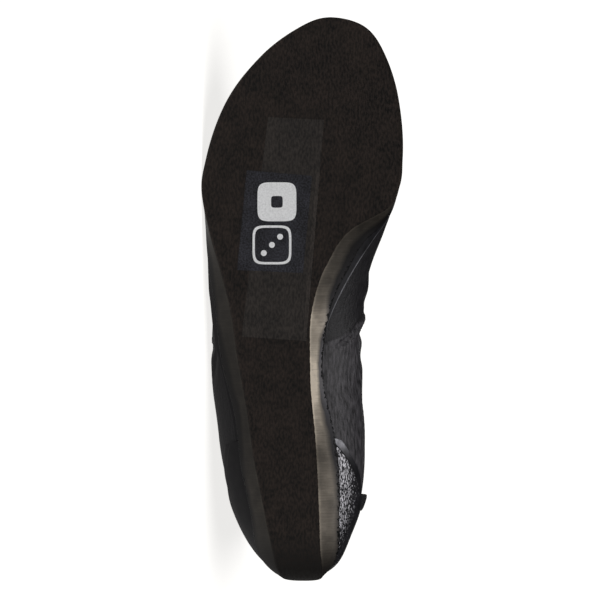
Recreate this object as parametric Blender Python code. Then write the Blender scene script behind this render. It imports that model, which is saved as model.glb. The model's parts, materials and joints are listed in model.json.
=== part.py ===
"""A right climbing shoe of about EU 42, a slip-on slipper, empty and lying on its lateral side.

The shoe is modelled standing on its sole and then laid down as one.
Shoe frame, in metres: x runs from the heel to the toe, y to the medial side and z up from the floor.
One function, skin(), gives the outer face of the upper, and every other piece is an offset of it.
A column of the shoe is named by its turn: 0 degrees at the back of the heel, 180 at the tip of the toe,
negative turns on the lateral side and positive ones on the medial side.
"""

import math

import bmesh
import bpy
import numpy as np
from mathutils import Matrix, Vector

# Overall sizes
LENGTH = 0.250
BALL_WIDTH = 0.091
HEEL_WIDTH = 0.066
QUARTER_HEIGHT = 0.030
THROAT_HEIGHT = 0.083
TOE_HEIGHT = 0.029

# Sole: its thickness, the rim that rises round the rand, and the lines of its underside
SOLE_THICKNESS = 0.0045
RIM_HEIGHT = 0.0080
RIM_THICKNESS = 0.0012
HEEL_ROLL_LENGTH = 0.026
HEEL_ROLL_HEIGHT = 0.017
ARCH_LIFT = 0.003
ARCH_SPAN = (0.20, 0.56)
TOE_SPRING = 0.002
TOE_SPRING_START = 0.80

# Upper, rands and insole
UPPER_WALL = 0.0018
LASTING_MARGIN = 0.004
BINDING_STEP = 0.0007
RAND_THICKNESS = 0.0016
RAND_HEIGHT = 0.020
HEEL_RAND_HEIGHT = 0.046
HEEL_LIP_THICKNESS = 0.0008
HEEL_LIP_SLOPE = 0.02
INSOLE_THICKNESS = 0.0025
INSOLE_TOP_SHARE = 0.94
INSOLE_FLANGE_CLIMB = -0.8

# The toe rand's top edge: where its thinning starts, and how much of the thickness is left there
RAND_THIN_START = 0.97
RAND_THIN_SHARE = 0.55

# Pull loop at the medial rear of the collar
LOOP_WIDTH = 0.008
LOOP_THICKNESS = 0.0012
LOOP_RISE = 0.011
LOOP_TURN = 29.0

# The floor that the lateral side lies on: its lean from upright, and the height up to which
# the upper stands back from it behind the rand
FLOOR_LEAN = math.radians(8.5)
STAND_BACK_TOP = 0.014
STAND_BACK_FADE = 0.007

# Clearances: between pieces that touch, and under the rands, where two curved walls lie together
GAP = 0.0003
RAND_GAP = 0.00045
RAND_OUTSIDE = RAND_GAP + RAND_THICKNESS

# Collar opening
COLLAR_BACK = 0.011
COLLAR_FRONT = 0.111
COLLAR_WIDTH = 0.054
COLLAR_ROUNDNESS = 0.9
COLLAR_STEEPNESS = 5.0
THROAT_TURN = 95.0

# Along the length, where the heel's width passes over to the ball's; by turn, where the wall's way of
# arriving passes over from the collar's to the ridge's
WIDTH_SPAN = (0.25, 0.62)
ARRIVAL_SPAN = (55.0, 100.0)

# Handles of the wall's curves: out from the seat and down from the widest line, then up from the
# widest line and back from the top
LOW_HANDLES = (0.42, 0.55)
HIGH_HANDLES = (0.46, 0.35)

# Turns where the toe rand and the heel rand meet and from where the heel rand's edge is steep, each
# rand's distance from their seam, and the mesh's step
SEAM_TURN = 57.5
HEEL_STEEP_START = 45.0
SEAM_APART = 0.15
TURN_STEP = 5.0

# Small steps for measuring directions, in climb, in turn and along the shoe
CLIMB_PROBE = 0.02
TURN_PROBE = 0.5
LENGTH_PROBE = 0.001

# Plan of the shoe, one row for each turn: y as a share of the width there, and heights as shares.
# tread is the edge of the flat underside, seat the turned edge of the upper, wide its widest line.
PLAN_COLUMNS = (
    "turn", "tread_lateral", "tread_medial", "seat_lateral", "seat_medial", "wide_lateral", "wide_medial",
    "bulge_lateral", "bulge_medial", "rim_lateral", "rim_medial", "rand_lateral", "rand_medial",
)
PLAN = (
    (0.0, 0.002, 0.002, -0.033, -0.033, -0.009, -0.009, 0.83, 0.83, 0.40, 0.40, 0.40, 0.40),
    (7.0, -0.112, 0.118, -0.097, 0.031, -0.112, 0.097, 0.84, 0.84, 0.80, 0.80, 0.40, 0.40),
    (15.0, -0.148, 0.141, -0.158, 0.092, -0.212, 0.185, 0.87, 0.87, 0.90, 0.93, 0.40, 0.40),
    (30.0, -0.194, 0.135, -0.203, 0.130, -0.373, 0.284, 0.93, 0.93, 0.90, 1.00, 0.40, 0.40),
    (45.0, -0.255, 0.127, -0.250, 0.125, -0.495, 0.380, 0.90, 1.00, 0.90, 0.95, 0.42, 0.42),
    (60.0, -0.329, 0.106, -0.311, 0.076, -0.570, 0.397, 0.82, 1.00, 0.88, 0.95, 0.46, 0.44),
    (75.0, -0.372, 0.062, -0.353, 0.028, -0.574, 0.345, 0.78, 1.03, 0.90, 0.76, 0.58, 0.44),
    (90.0, -0.377, 0.073, -0.366, 0.059, -0.488, 0.317, 0.72, 0.97, 0.95, 0.86, 0.66, 0.46),
    (97.5, -0.404, 0.136, -0.380, 0.134, -0.462, 0.337, 0.62, 0.83, 1.00, 0.90, 0.66, 0.49),
    (105.0, -0.447, 0.266, -0.390, 0.253, -0.453, 0.400, 0.52, 0.70, 1.00, 0.85, 0.66, 0.53),
    (109.0, -0.468, 0.429, -0.391, 0.341, -0.451, 0.433, 0.43, 0.63, 1.00, 1.00, 0.68, 0.60),
    (114.0, -0.482, 0.486, -0.387, 0.389, -0.446, 0.455, 0.43, 0.57, 1.00, 1.00, 0.70, 0.70),
    (120.0, -0.460, 0.499, -0.369, 0.402, -0.426, 0.468, 0.43, 0.53, 1.00, 1.00, 0.75, 0.88),
    (135.0, -0.358, 0.480, -0.275, 0.389, -0.330, 0.451, 0.42, 0.50, 1.00, 1.00, 0.88, 0.96),
    (150.0, -0.189, 0.414, -0.125, 0.327, -0.169, 0.385, 0.40, 0.47, 1.00, 1.00, 0.96, 1.00),
    (165.0, -0.004, 0.315, 0.037, 0.248, 0.010, 0.292, 0.40, 0.43, 1.00, 1.00, 1.00, 1.00),
    (180.0, 0.145, 0.145, 0.145, 0.145, 0.145, 0.145, 0.40, 0.40, 1.00, 1.00, 1.00, 1.00),
)

# How far up the wall the rands start, and their rows from there to the top edge, close at the foot
RAND_FOOT = 0.14
RAND_ROWS = (0.0, 0.06, 0.13, 0.21, 0.30, 0.41, 0.54, 0.69, 0.84, 1.0)

# Rows of the upper's wall, where the raised binding starts, and the rows of the sole's tray below the rand
WALL_ROWS = (0.0, 0.10, 0.22, 0.36, 0.50, 0.66, 0.82, 1.0, 1.14, 1.28, 1.42, 1.56, 1.70, 1.86, 2.0)
BINDING_START = 1.875
TRAY_ROWS = (RAND_FOOT / 3, -0.4, -1.0)

# Where each plan line starts at the heel and ends at the toe, as shares of the length
PLAN_REACH = {"tread": (0.0, 1.0), "seat": (0.048, 0.958), "wide": (0.0116, 0.9884)}

# The collar's edge, from the back of the heel (0) to the throat (1)
COLLAR_COLUMNS = ("along", "height", "middle")
COLLAR = (
    (0.00, 0.880, -0.068),
    (0.20, 0.835, -0.062),
    (0.45, 0.690, -0.050),
    (0.65, 0.715, -0.042),
    (0.85, 0.875, -0.034),
    (1.00, 1.000, -0.030),
)

# The ridge of the forefoot, from the throat (0) to the toe box (1):
# its height between toe height and throat height, and its y as a share of the ball width
RIDGE_COLUMNS = ("along", "height", "side")
RIDGE_FRONT = 0.928
RIDGE = (
    (0.00, 1.000, -0.022),
    (0.25, 0.732, 0.002),
    (0.45, 0.500, 0.036),
    (0.65, 0.318, 0.086),
    (0.85, 0.152, 0.138),
    (1.00, 0.000, 0.176),
)

# Top edge of the heel rand and the thin lip beyond it, by turn, as shares of its height at the back
HEEL_RAND_COLUMNS = ("turn", "lateral", "medial", "lip")
HEEL_RAND = (
    (0.0, 1.00, 1.00, 0.07),
    (12.0, 0.97, 0.97, 0.07),
    (24.0, 0.86, 0.86, 0.07),
    (33.0, 0.72, 0.72, 0.07),
    (40.0, 0.56, 0.60, 0.08),
    (45.0, 0.44, 0.47, 0.10),
    (50.0, 0.34, 0.32, 0.14),
    (54.0, 0.27, 0.21, 0.11),
    (57.5, 0.22, 0.14, 0.09),
)

# The pull loop's path: how far up the wall, the rise above the collar and the offset from the wall
LOOP = (
    (1.66, 0.00, 1.0),
    (1.83, 0.00, 1.0),
    (1.99, 0.00, 1.1),
    (2.00, 0.40, 4.0),
    (2.00, 0.82, 7.4),
    (2.00, 1.00, 7.4),
    (2.00, 0.86, 5.0),
    (2.00, 0.42, -0.7),
    (1.99, 0.00, -1.0),
    (1.83, 0.00, -1.0),
    (1.66, 0.00, -1.0),
)

# Colours are sRGB; densities in kilograms per cubic metre share out the weight for the resting pose
FINISHES = {
    "sole_rubber": ((33, 30, 28), 0.45, 1200.0),
    "rand_rubber": ((46, 43, 44), 0.50, 1200.0),
    "leather": ((44, 42, 44), 0.60, 900.0),
    "lining": ((96, 92, 88), 0.85, 300.0),
    "webbing": ((30, 30, 32), 0.80, 300.0),
}


def column(table, names, name):
    """One named column of a table."""
    return np.array([row[names.index(name)] for row in table])


def smooth(knots, values, at):
    """Smooth curve through a table: cubic pieces whose slopes come from each knot's neighbours."""
    steps = np.diff(knots)
    rates = np.diff(values) / steps
    inner = (rates[:-1] * steps[1:] + rates[1:] * steps[:-1]) / (steps[:-1] + steps[1:])
    slopes = np.concatenate(([rates[0]], inner, [rates[-1]]))
    index = np.clip(np.searchsorted(knots, at, side="right") - 1, 0, len(steps) - 1)
    step = steps[index]
    t = (at - knots[index]) / step
    start = values[index] * (1 + 2 * t) * (1 - t) ** 2 + slopes[index] * step * t * (1 - t) ** 2
    end = values[index + 1] * t * t * (3 - 2 * t) + slopes[index + 1] * step * t * t * (t - 1)
    return start + end


def around(table, names, lateral, medial, turn):
    """A two-sided column of a table, smooth round the heel and round the toe."""
    turns = column(table, names, "turn")
    left, right = column(table, names, lateral), column(table, names, medial)
    knots = np.concatenate((-turns[:0:-1], turns))
    values = np.concatenate((left[:0:-1], right))
    if turns[-1] == 180.0:
        knots = np.concatenate((knots[-3:-1] - 360.0, knots, knots[1:3] + 360.0))
        values = np.concatenate((values[-3:-1], values, values[1:3]))
    return smooth(knots, values, turn)


def plan(name, turn):
    return around(PLAN, PLAN_COLUMNS, name + "_lateral", name + "_medial", turn)


def ring_turns():
    """Turns of the columns all the way round, from the toe by the lateral side and the heel."""
    return np.arange(-180.0, 180.0, TURN_STEP)


def ease(share):
    """Soft step from 0 to 1."""
    share = np.clip(share, 0.0, 1.0)
    return share * share * (3 - 2 * share)


def span_share(value, span):
    """How far a value has come from the start of a span to its end."""
    return (value - span[0]) / (span[1] - span[0])


def unit(vectors):
    return vectors / np.maximum(np.linalg.norm(vectors, axis=-1, keepdims=True), 1e-12)


def travel(turn):
    """How far along the shoe a turn lies, from 0 at the heel to 1 at the toe."""
    return (1 - np.cos(np.radians(turn))) / 2


def plan_line(name, turn):
    """x and y of the tread, seat or wide line."""
    share = travel(turn)
    start, end = PLAN_REACH[name]
    width = HEEL_WIDTH + (BALL_WIDTH - HEEL_WIDTH) * ease(span_share(share, WIDTH_SPAN))
    return LENGTH * (start + (end - start) * share), width * plan(name, turn)


def tread_height(x):
    """Height of the sole's underside: heel roll, heel flat, arch, forefoot flat and toe spring."""
    roll = np.clip(1 - x / HEEL_ROLL_LENGTH, 0.0, 1.0)
    rolled = HEEL_ROLL_HEIGHT * (1 - np.sqrt(1 - roll ** 2))
    arch = ARCH_LIFT * np.sin(math.pi * np.clip(span_share(x / LENGTH, ARCH_SPAN), 0.0, 1.0)) ** 2
    toe = TOE_SPRING * np.maximum(span_share(x / LENGTH, (TOE_SPRING_START, 1.0)), 0.0) ** 2
    return rolled + arch + toe


def seat_height(x):
    return tread_height(x) + SOLE_THICKNESS + GAP


def seat_edge(turn):
    """The turned lower edge of the upper, and the outward direction in which its wall leaves it."""
    x, y = plan_line("seat", turn)
    ahead, behind = plan_line("seat", turn + 2 * TURN_PROBE), plan_line("seat", turn - 2 * TURN_PROBE)
    along = unit(np.stack((ahead[0] - behind[0], ahead[1] - behind[1]), axis=-1))
    slope = (seat_height(x + LENGTH_PROBE) - seat_height(x - LENGTH_PROBE)) / (2 * LENGTH_PROBE)
    out = np.stack((-along[..., 1], along[..., 0], -along[..., 1] * slope), axis=-1)
    return np.stack((x, y, seat_height(x)), axis=-1), out


def wide_line(turn):
    x, y = plan_line("wide", turn)
    return np.stack((x, y, QUARTER_HEIGHT * plan("bulge", turn)), axis=-1)


def collar_edge(turn):
    """The collar's edge and the direction in which the wall arrives there."""
    share = np.clip(np.abs(turn) / THROAT_TURN, 0.0, 1.0)
    along = column(COLLAR, COLLAR_COLUMNS, "along")
    knots = np.concatenate((-along[:0:-1], along, 2 - along[-2::-1]))
    height, middle = (
        smooth(knots, np.concatenate((row[:0:-1], row, row[-2::-1])), share)
        for row in (column(COLLAR, COLLAR_COLUMNS, name) for name in ("height", "middle"))
    )
    ahead, aside = np.cos(math.pi * share), np.sin(math.pi * share)
    x = COLLAR_BACK + (COLLAR_FRONT - COLLAR_BACK) * (1 - ahead) / 2
    y = HEEL_WIDTH * middle + np.sign(turn) * COLLAR_WIDTH / 2 * aside ** COLLAR_ROUNDNESS
    edge = np.stack((x, y, THROAT_HEIGHT * height), axis=-1)
    lean = np.stack((ahead, -np.sign(turn) * aside, COLLAR_STEEPNESS + 0 * x), axis=-1)
    return edge, unit(lean)


def ridge_line(turn):
    """The forefoot's ridge, its slope there, and its direction in plan."""
    first, last = wide_line(np.array(THROAT_TURN))[0], wide_line(np.array(180.0))[0]
    share = np.clip((wide_line(turn)[..., 0] - first) / (last - first), 0.0, 1.0)

    def point(at):
        along = column(RIDGE, RIDGE_COLUMNS, "along")
        height = smooth(along, column(RIDGE, RIDGE_COLUMNS, "height"), at)
        side = smooth(along, column(RIDGE, RIDGE_COLUMNS, "side"), at)
        x = COLLAR_FRONT + (RIDGE_FRONT * LENGTH - COLLAR_FRONT) * at
        return np.stack((x, BALL_WIDTH * side, TOE_HEIGHT + (THROAT_HEIGHT - TOE_HEIGHT) * height), axis=-1)

    run = point(share + CLIMB_PROBE / 2) - point(share - CLIMB_PROBE / 2)
    level = np.linalg.norm(run[..., :2], axis=-1)
    return point(share), run[..., 2] / level, run[..., :2] / level[..., None]


def top_line(turn):
    """Upper end of a column, on the collar or on the ridge, and the direction of arrival."""
    edge, lean = collar_edge(turn)
    ridge, slope, run = ridge_line(turn)
    over = np.abs(turn) >= THROAT_TURN
    top = np.where(over[..., None], ridge, edge)
    inward = unit((top - wide_line(turn))[..., :2])
    across = np.concatenate((inward, (slope * np.sum(inward * run, axis=-1))[..., None]), axis=-1)
    share = ease(span_share(np.abs(turn), ARRIVAL_SPAN))[..., None]
    return top, unit(lean * (1 - share) + across * share)


def bezier(a, b, c, d, t):
    t = t[..., None]
    return a * (1 - t) ** 3 + 3 * b * t * (1 - t) ** 2 + 3 * c * t * t * (1 - t) + d * t ** 3


def free_skin(turn, climb):
    """Outer face of the upper before it is pressed against the floor beside it.

    climb runs from -1 at the inner edge of the lasting margin through 0 at the seat edge
    and 1 at the widest line to 2 at the collar or the ridge.
    """
    turn, climb = np.broadcast_arrays(np.asarray(turn, float), np.asarray(climb, float))
    seat, out = seat_edge(turn)
    wide = wide_line(turn)
    top, arrival = top_line(turn)
    up = np.array((0.0, 0.0, 1.0))
    spread = np.linalg.norm((wide - seat)[..., :2], axis=-1)[..., None]
    lift = (wide - seat)[..., 2:]
    leave, close = seat + out * spread * LOW_HANDLES[0], wide - up * lift * LOW_HANDLES[1]
    low = bezier(seat, leave, close, wide, np.clip(climb, 0, 1))
    rise = (top - wide)[..., 2:]
    reach = np.linalg.norm(top - wide, axis=-1)[..., None]
    leave, close = wide + up * rise * HIGH_HANDLES[0], top - arrival * reach * HIGH_HANDLES[1]
    high = bezier(wide, leave, close, top, np.clip(climb - 1, 0, 1))
    under = seat + out * LASTING_MARGIN * np.minimum(climb, 0.0)[..., None]
    under[..., 2] = seat_height(under[..., 0])
    wall = np.where((climb > 1)[..., None], high, low)
    return np.where((climb < 0)[..., None], under, wall)


def outward(surface, turn, climb):
    """Outward direction of a surface of turn and climb; both sides share it on the ridge."""
    turn, climb = np.broadcast_arrays(np.asarray(turn, float), np.asarray(climb, float))

    def one_side(at):
        above, below = np.minimum(climb + CLIMB_PROBE, 2.0), np.maximum(climb - CLIMB_PROBE, -1.0)
        up = surface(at, above) - surface(at, below)
        along = surface(at + TURN_PROBE, climb) - surface(at - TURN_PROBE, climb)
        return unit(np.cross(up, along))

    normal = one_side(turn)
    shared = unit(normal + one_side(-turn))
    zipped = (climb >= 2.0) & (np.abs(turn) >= THROAT_TURN)
    return np.where(zipped[..., None], shared, normal)


def side_floor():
    """y at ground level of the floor beside the shoe, which the sole's lateral edge touches."""
    turn = ring_turns()
    turn = turn[turn < -60]
    x, y = plan_line("tread", turn)
    climb = climb_to(turn, rim_height(turn))
    over = RAND_OUTSIDE + GAP + RIM_THICKNESS
    rim = free_skin(turn, climb) + outward(free_skin, turn, climb) * over
    lean = math.tan(FLOOR_LEAN)
    return min(np.min(y - tread_height(x) * lean), np.min(rim[:, 1] - rim[:, 2] * lean))


def skin(turn, climb):
    """Outer face of the upper, pressed flat where it lies on the floor beside the shoe."""
    point = free_skin(turn, climb)
    z = point[..., 2]
    behind_rand = 1 - ease((z - STAND_BACK_TOP) / STAND_BACK_FADE)
    limit = SIDE_FLOOR + z * math.tan(FLOOR_LEAN) + behind_rand * (RAND_OUTSIDE + GAP)
    point[..., 1] = np.maximum(point[..., 1], limit)
    return point


def offset_skin(turn, climb, distance):
    """The upper's outer face moved outwards, or inwards by a negative distance."""
    distance = np.broadcast_arrays(np.asarray(distance, float), np.asarray(turn, float) + climb)[0]
    return skin(turn, climb) + outward(skin, turn, climb) * distance[..., None]


def climb_to(turn, height):
    """How far up its column the upper reaches a height."""
    climbs = np.linspace(0.0, 2.0, 121)
    heights = free_skin(turn[None, :], climbs[:, None])[..., 2]
    return np.array([np.interp(height[k], heights[:, k], climbs) for k in range(len(turn))])


def rim_height(turn):
    """Height of the top of the sole's rim."""
    return tread_height(plan_line("tread", turn)[0]) + RIM_HEIGHT * plan("rim", turn)


SIDE_FLOOR = side_floor()


def faces_between(first, second, closed):
    """Quads between two rows of point numbers."""
    last = len(first) if closed else len(first) - 1
    return [(first[k], first[(k + 1) % len(first)], second[(k + 1) % len(first)], second[k]) for k in range(last)]


def cap_faces(ring):
    """Strips across a closed ring, from each point to the one opposite it on the other side."""
    half = len(ring) // 2
    quads = [(ring[k], ring[k + 1], ring[-k - 1], ring[-k]) for k in range(1, half - 1)]
    return [(ring[0], ring[1], ring[-1])] + quads + [(ring[half - 1], ring[half], ring[half + 1])]


def add_piece(name, points, faces, finish, parent):
    """A closed mesh object with its faces pointing outwards."""
    mesh = bpy.data.meshes.new(name)
    mesh.from_pydata([tuple(point) for point in points], [], faces)
    body = bmesh.new()
    body.from_mesh(mesh)
    bmesh.ops.remove_doubles(body, verts=body.verts, dist=1e-7)
    bmesh.ops.triangulate(body, faces=body.faces, quad_method="SHORT_EDGE")
    bmesh.ops.recalc_face_normals(body, faces=body.faces)
    if body.calc_volume(signed=True) < 0:
        bmesh.ops.reverse_faces(body, faces=body.faces)
    body.to_mesh(mesh)
    body.free()
    mesh.shade_smooth()
    mesh.set_sharp_from_angle(angle=math.radians(40))
    mesh.materials.append(material(finish))
    piece = bpy.data.objects.new(name, mesh)
    piece["density"] = FINISHES[finish][2]
    piece.parent = parent
    bpy.context.scene.collection.objects.link(piece)
    return piece


def material(name):
    """Principled material of a finish."""
    if name in bpy.data.materials:
        return bpy.data.materials[name]
    colour, roughness, _ = FINISHES[name]
    made = bpy.data.materials.new(name)
    made.use_nodes = True
    shader = made.node_tree.nodes["Principled BSDF"]
    linear = [((c / 255 + 0.055) / 1.055) ** 2.4 if c > 10 else c / 255 / 12.92 for c in colour]
    shader.inputs["Base Color"].default_value = (*linear, 1.0)
    shader.inputs["Roughness"].default_value = roughness
    return made


def stack_rings(rings):
    """Points and side faces of rings laid one on another, and each ring's point numbers."""
    points = np.concatenate(rings)
    numbers = [list(range(k * len(rings[0]), (k + 1) * len(rings[0]))) for k in range(len(rings))]
    faces = []
    for lower, upper in zip(numbers, numbers[1:]):
        faces += faces_between(lower, upper, True)
    return points, faces, numbers


def build_outsole(parent):
    """Outsole: a tray whose rim rises round the rand, ground to a bevel outside."""
    turn = ring_turns()
    x, y = plan_line("tread", turn)
    tread = np.stack((x, y, tread_height(x)), axis=-1)
    rim = climb_to(turn, rim_height(turn))
    inside = RAND_OUTSIDE + GAP
    rings = [tread, offset_skin(turn, rim, inside + RIM_THICKNESS)]
    for share in RAND_ROWS[::-1]:
        rings.append(offset_skin(turn, RAND_FOOT + (rim - RAND_FOOT) * share, inside))
    rings.append(offset_skin(turn, TRAY_ROWS[0], inside))
    for climb in TRAY_ROWS:
        rings.append(offset_skin(turn, climb, GAP))
    points, faces, numbers = stack_rings(rings)
    faces += cap_faces(numbers[0]) + cap_faces(numbers[-1])
    return add_piece("outsole", points, faces, "sole_rubber", parent)


def build_upper(parent):
    """Upper: one hollow wall, open at the collar and underneath, with a raised binding at the collar."""
    turn = ring_turns()
    collar = ease((THROAT_TURN - np.abs(turn)) / 10.0)
    rings = [offset_skin(turn, climb, 0.0) for climb in (-1.0, -0.5) + WALL_ROWS[:-1]]
    rings += [offset_skin(turn, climb, BINDING_STEP * collar) for climb in (BINDING_START, 2.0)]
    outer = len(rings)
    rings += [offset_skin(turn, climb, -UPPER_WALL) for climb in WALL_ROWS[::-1] + (-1.0,)]
    points, faces, numbers = stack_rings(rings)
    top, under = numbers[outer - 1], numbers[outer]
    over_top = set(faces_between(top, under, True))
    faces = [face for face in faces if face not in over_top]
    for k in range(len(turn) - 1):
        if abs(turn[k]) <= THROAT_TURN and abs(turn[k + 1]) <= THROAT_TURN:
            faces.append((top[k], top[k + 1], under[k + 1], under[k]))
    faces += faces_between(numbers[-1], numbers[0], True)
    for row in (top, under):
        for k in range(len(turn)):
            if turn[k] < 0 and abs(turn[k]) >= THROAT_TURN and turn[k] > -180:
                points[row[k]] = points[row[len(turn) - k]]
    return add_piece("upper", points, faces, "leather", parent)


def band(turn, rows):
    """Points and faces of a solid strip: rows are pairs of climb and offset round its section."""
    rings = [offset_skin(turn, climb, distance) for climb, distance in rows]
    count = len(turn)
    points = np.concatenate(rings)
    numbers = [list(range(k * count, (k + 1) * count)) for k in range(len(rings))]
    faces = []
    for k, row in enumerate(numbers):
        faces += faces_between(row, numbers[(k + 1) % len(numbers)], False)
    half = len(numbers) // 2
    for end in (0, -1):
        for k in range(half - 1):
            faces.append((numbers[k][end], numbers[k + 1][end], numbers[-k - 2][end], numbers[-k - 1][end]))
    return points, faces


def build_toe_rand(parent):
    """Rand of the forefoot and the waist, from one heel seam round the toe to the other."""
    start = SEAM_TURN + SEAM_APART
    side = np.arange(SEAM_TURN + TURN_STEP / 2, 180.0, TURN_STEP)
    turn = np.concatenate(([start], side, [180.0], 360 - side[::-1], [360 - start]))
    at = np.where(turn > 180, turn - 360, turn)
    top = climb_to(at, RAND_HEIGHT * plan("rand", at))
    inner = [(RAND_FOOT + (top - RAND_FOOT) * share, RAND_GAP) for share in RAND_ROWS]
    climb = (top - RAND_FOOT) * RAND_THIN_START
    outer = [(RAND_FOOT + climb * share, RAND_OUTSIDE) for share in RAND_ROWS[:-1]]
    outer.append((RAND_FOOT + climb, RAND_GAP + RAND_THICKNESS * RAND_THIN_SHARE))
    points, faces = band(at, inner + outer[::-1])
    return add_piece("toe_rand", points, faces, "rand_rubber", parent)


def build_heel_rand(parent):
    """Heel rand, with the thin layer that shows in front of its slanting edge as a stepped lip."""
    end = SEAM_TURN - SEAM_APART
    side = np.concatenate((
        np.arange(TURN_STEP, HEEL_STEEP_START, TURN_STEP),
        np.arange(HEEL_STEEP_START, SEAM_TURN, TURN_STEP / 2),
    ))
    turn = np.concatenate(([-end], -side[::-1], [0.0], side, [end]))
    share = around(HEEL_RAND, HEEL_RAND_COLUMNS, "lateral", "medial", turn)
    beyond = around(HEEL_RAND, HEEL_RAND_COLUMNS, "lip", "lip", turn)
    top = climb_to(turn, HEEL_RAND_HEIGHT * share)
    lip = climb_to(turn, HEEL_RAND_HEIGHT * (share + beyond))
    beyond_top = [top + (lip - top) * share for share in (HEEL_LIP_SLOPE, 0.5, 1.0)]
    thin = RAND_GAP + HEEL_LIP_THICKNESS
    inner = [(RAND_FOOT + (top - RAND_FOOT) * share, RAND_GAP) for share in RAND_ROWS]
    inner += [(climb, RAND_GAP) for climb in beyond_top]
    outer = [(RAND_FOOT + (top - RAND_FOOT) * share, RAND_OUTSIDE) for share in RAND_ROWS]
    step = [(climb, thin) for climb in beyond_top]
    points, faces = band(turn, inner + (outer + step)[::-1])
    return add_piece("heel_rand", points, faces, "rand_rubber", parent)


def build_insole(parent):
    """Insole: its flange lies on the lasting margin, and its middle fills the space down to the sole."""
    turn = ring_turns()
    clear = -(UPPER_WALL + 2 * GAP)
    under = LASTING_MARGIN + 2 * GAP
    seat, out = seat_edge(turn)
    core = seat - out * under
    core[:, 2] = seat_height(core[:, 0]) + GAP
    neck = core.copy()
    neck[:, 2] += UPPER_WALL
    height = seat_height(plan_line("seat", turn)[0]) + UPPER_WALL + GAP + INSOLE_THICKNESS
    climbs = np.linspace(0.0, 0.9, 46)
    heights = offset_skin(turn[None, :], climbs[:, None], clear)[..., 2]
    edge = np.array([np.interp(height[k], heights[:, k], climbs) for k in range(len(turn))])
    rings = [core, neck, offset_skin(turn, INSOLE_FLANGE_CLIMB, clear), offset_skin(turn, 0.0, clear)]
    rings += [offset_skin(turn, edge / 2, clear), offset_skin(turn, edge * INSOLE_TOP_SHARE, clear - 1.5 * GAP)]
    points, faces, numbers = stack_rings(rings)
    faces += cap_faces(numbers[0]) + cap_faces(numbers[-1])
    return add_piece("insole", points, faces, "lining", parent)


def build_pull_loop(parent):
    """Pull loop: a folded webbing strap astride the collar's edge."""
    rows = []
    ends = collar_edge(LOOP_TURN + np.array((-0.5, 0.5)))[0]
    turns = LOOP_TURN + LOOP_WIDTH / np.linalg.norm(ends[1] - ends[0]) * np.array((-0.5, 0.0, 0.5))
    rise = collar_edge(turns)[1]
    side = LOOP_THICKNESS / 2 + GAP
    for climb, lift, reach in LOOP:
        base = skin(turns, climb)
        normal = outward(skin, turns, climb)
        out = reach * side + (BINDING_STEP if reach > 0 else -UPPER_WALL)
        rows.append(base + rise * lift * LOOP_RISE + normal * out)
    path = np.array(rows)
    along = unit(np.gradient(path, axis=0))
    width = unit(path[:, 2:] - path[:, :1])
    face = unit(np.cross(along, np.broadcast_to(width, path.shape)))
    half = LOOP_THICKNESS / 2
    loops = np.concatenate((path + face * half, (path - face * half)[:, ::-1]), axis=1)
    count = loops.shape[1]
    numbers = [list(range(k * count, (k + 1) * count)) for k in range(len(loops))]
    faces = []
    for first, second in zip(numbers, numbers[1:]):
        faces += faces_between(first, second, True)
    faces += [tuple(numbers[0]), tuple(numbers[-1])]
    return add_piece("pull_loop", loops.reshape(-1, 3), faces, "webbing", parent)


def weight_centre(pieces):
    """Centre of mass of the closed meshes, each with its own density."""
    total, moment = 0.0, np.zeros(3)
    for piece in pieces:
        mesh = piece.data
        points = np.array([tuple(v.co) for v in mesh.vertices])
        corners = points[np.array([tuple(p.vertices) for p in mesh.polygons])]
        volumes = np.einsum("ij,ij->i", corners[:, 0], np.cross(corners[:, 1], corners[:, 2])) / 6
        weights = volumes * piece["density"]
        total += weights.sum()
        moment += (weights[:, None] * corners.sum(axis=1) / 4).sum(axis=0)
    return moment / total


def resting_side(pieces, centre):
    """Outward normal of the lateral face of the hull that lies under the centre of mass."""
    hull = bmesh.new()
    for piece in pieces:
        for vertex in piece.data.vertices:
            hull.verts.new(vertex.co)
    result = bmesh.ops.convex_hull(hull, input=hull.verts, use_existing_faces=False)
    best, best_normal = 0.0, None
    for face in [part for part in result["geom"] if isinstance(part, bmesh.types.BMFace)]:
        corners = [np.array(vert.co) for vert in face.verts]
        normal = unit(np.cross(corners[1] - corners[0], corners[2] - corners[0]))
        if np.dot(normal, corners[0] - centre) < 0:
            normal = -normal
        foot = centre + normal * np.dot(normal, corners[0] - centre)
        turns = [np.dot(np.cross(b - a, foot - a), normal) for a, b in zip(corners, corners[1:] + corners[:1])]
        inside = all(value >= 0 for value in turns) or all(value <= 0 for value in turns)
        if inside and -normal[1] > best:
            best, best_normal = -normal[1], normal
    hull.free()
    return best_normal


def laying_matrix(pieces):
    """Turns the standing shoe onto its lateral side, toe towards -X, and centres its foot on the origin."""
    down = resting_side(pieces, weight_centre(pieces))
    up = -down
    toe = np.array((1.0, 0.0, 0.0))
    left = unit(toe - up * np.dot(toe, up))
    turn = np.array((-left, -np.cross(up, left), up))
    points = np.array([turn @ np.array(v.co) for piece in pieces for v in piece.data.vertices])
    low, high = points.min(axis=0), points.max(axis=0)
    shift = -np.array(((low[0] + high[0]) / 2, (low[1] + high[1]) / 2, low[2]))
    matrix = Matrix(turn.tolist()).to_4x4()
    matrix.translation = Vector(shift)
    return matrix


def main():
    for old in list(bpy.data.objects):
        bpy.data.objects.remove(old, do_unlink=True)
    shoe = bpy.data.objects.new("shoe_frame", None)
    bpy.context.scene.collection.objects.link(shoe)
    pieces = [
        build_outsole(shoe),
        build_upper(shoe),
        build_toe_rand(shoe),
        build_heel_rand(shoe),
        build_insole(shoe),
        build_pull_loop(shoe),
    ]
    shoe.matrix_world = laying_matrix(pieces)


main()
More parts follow.
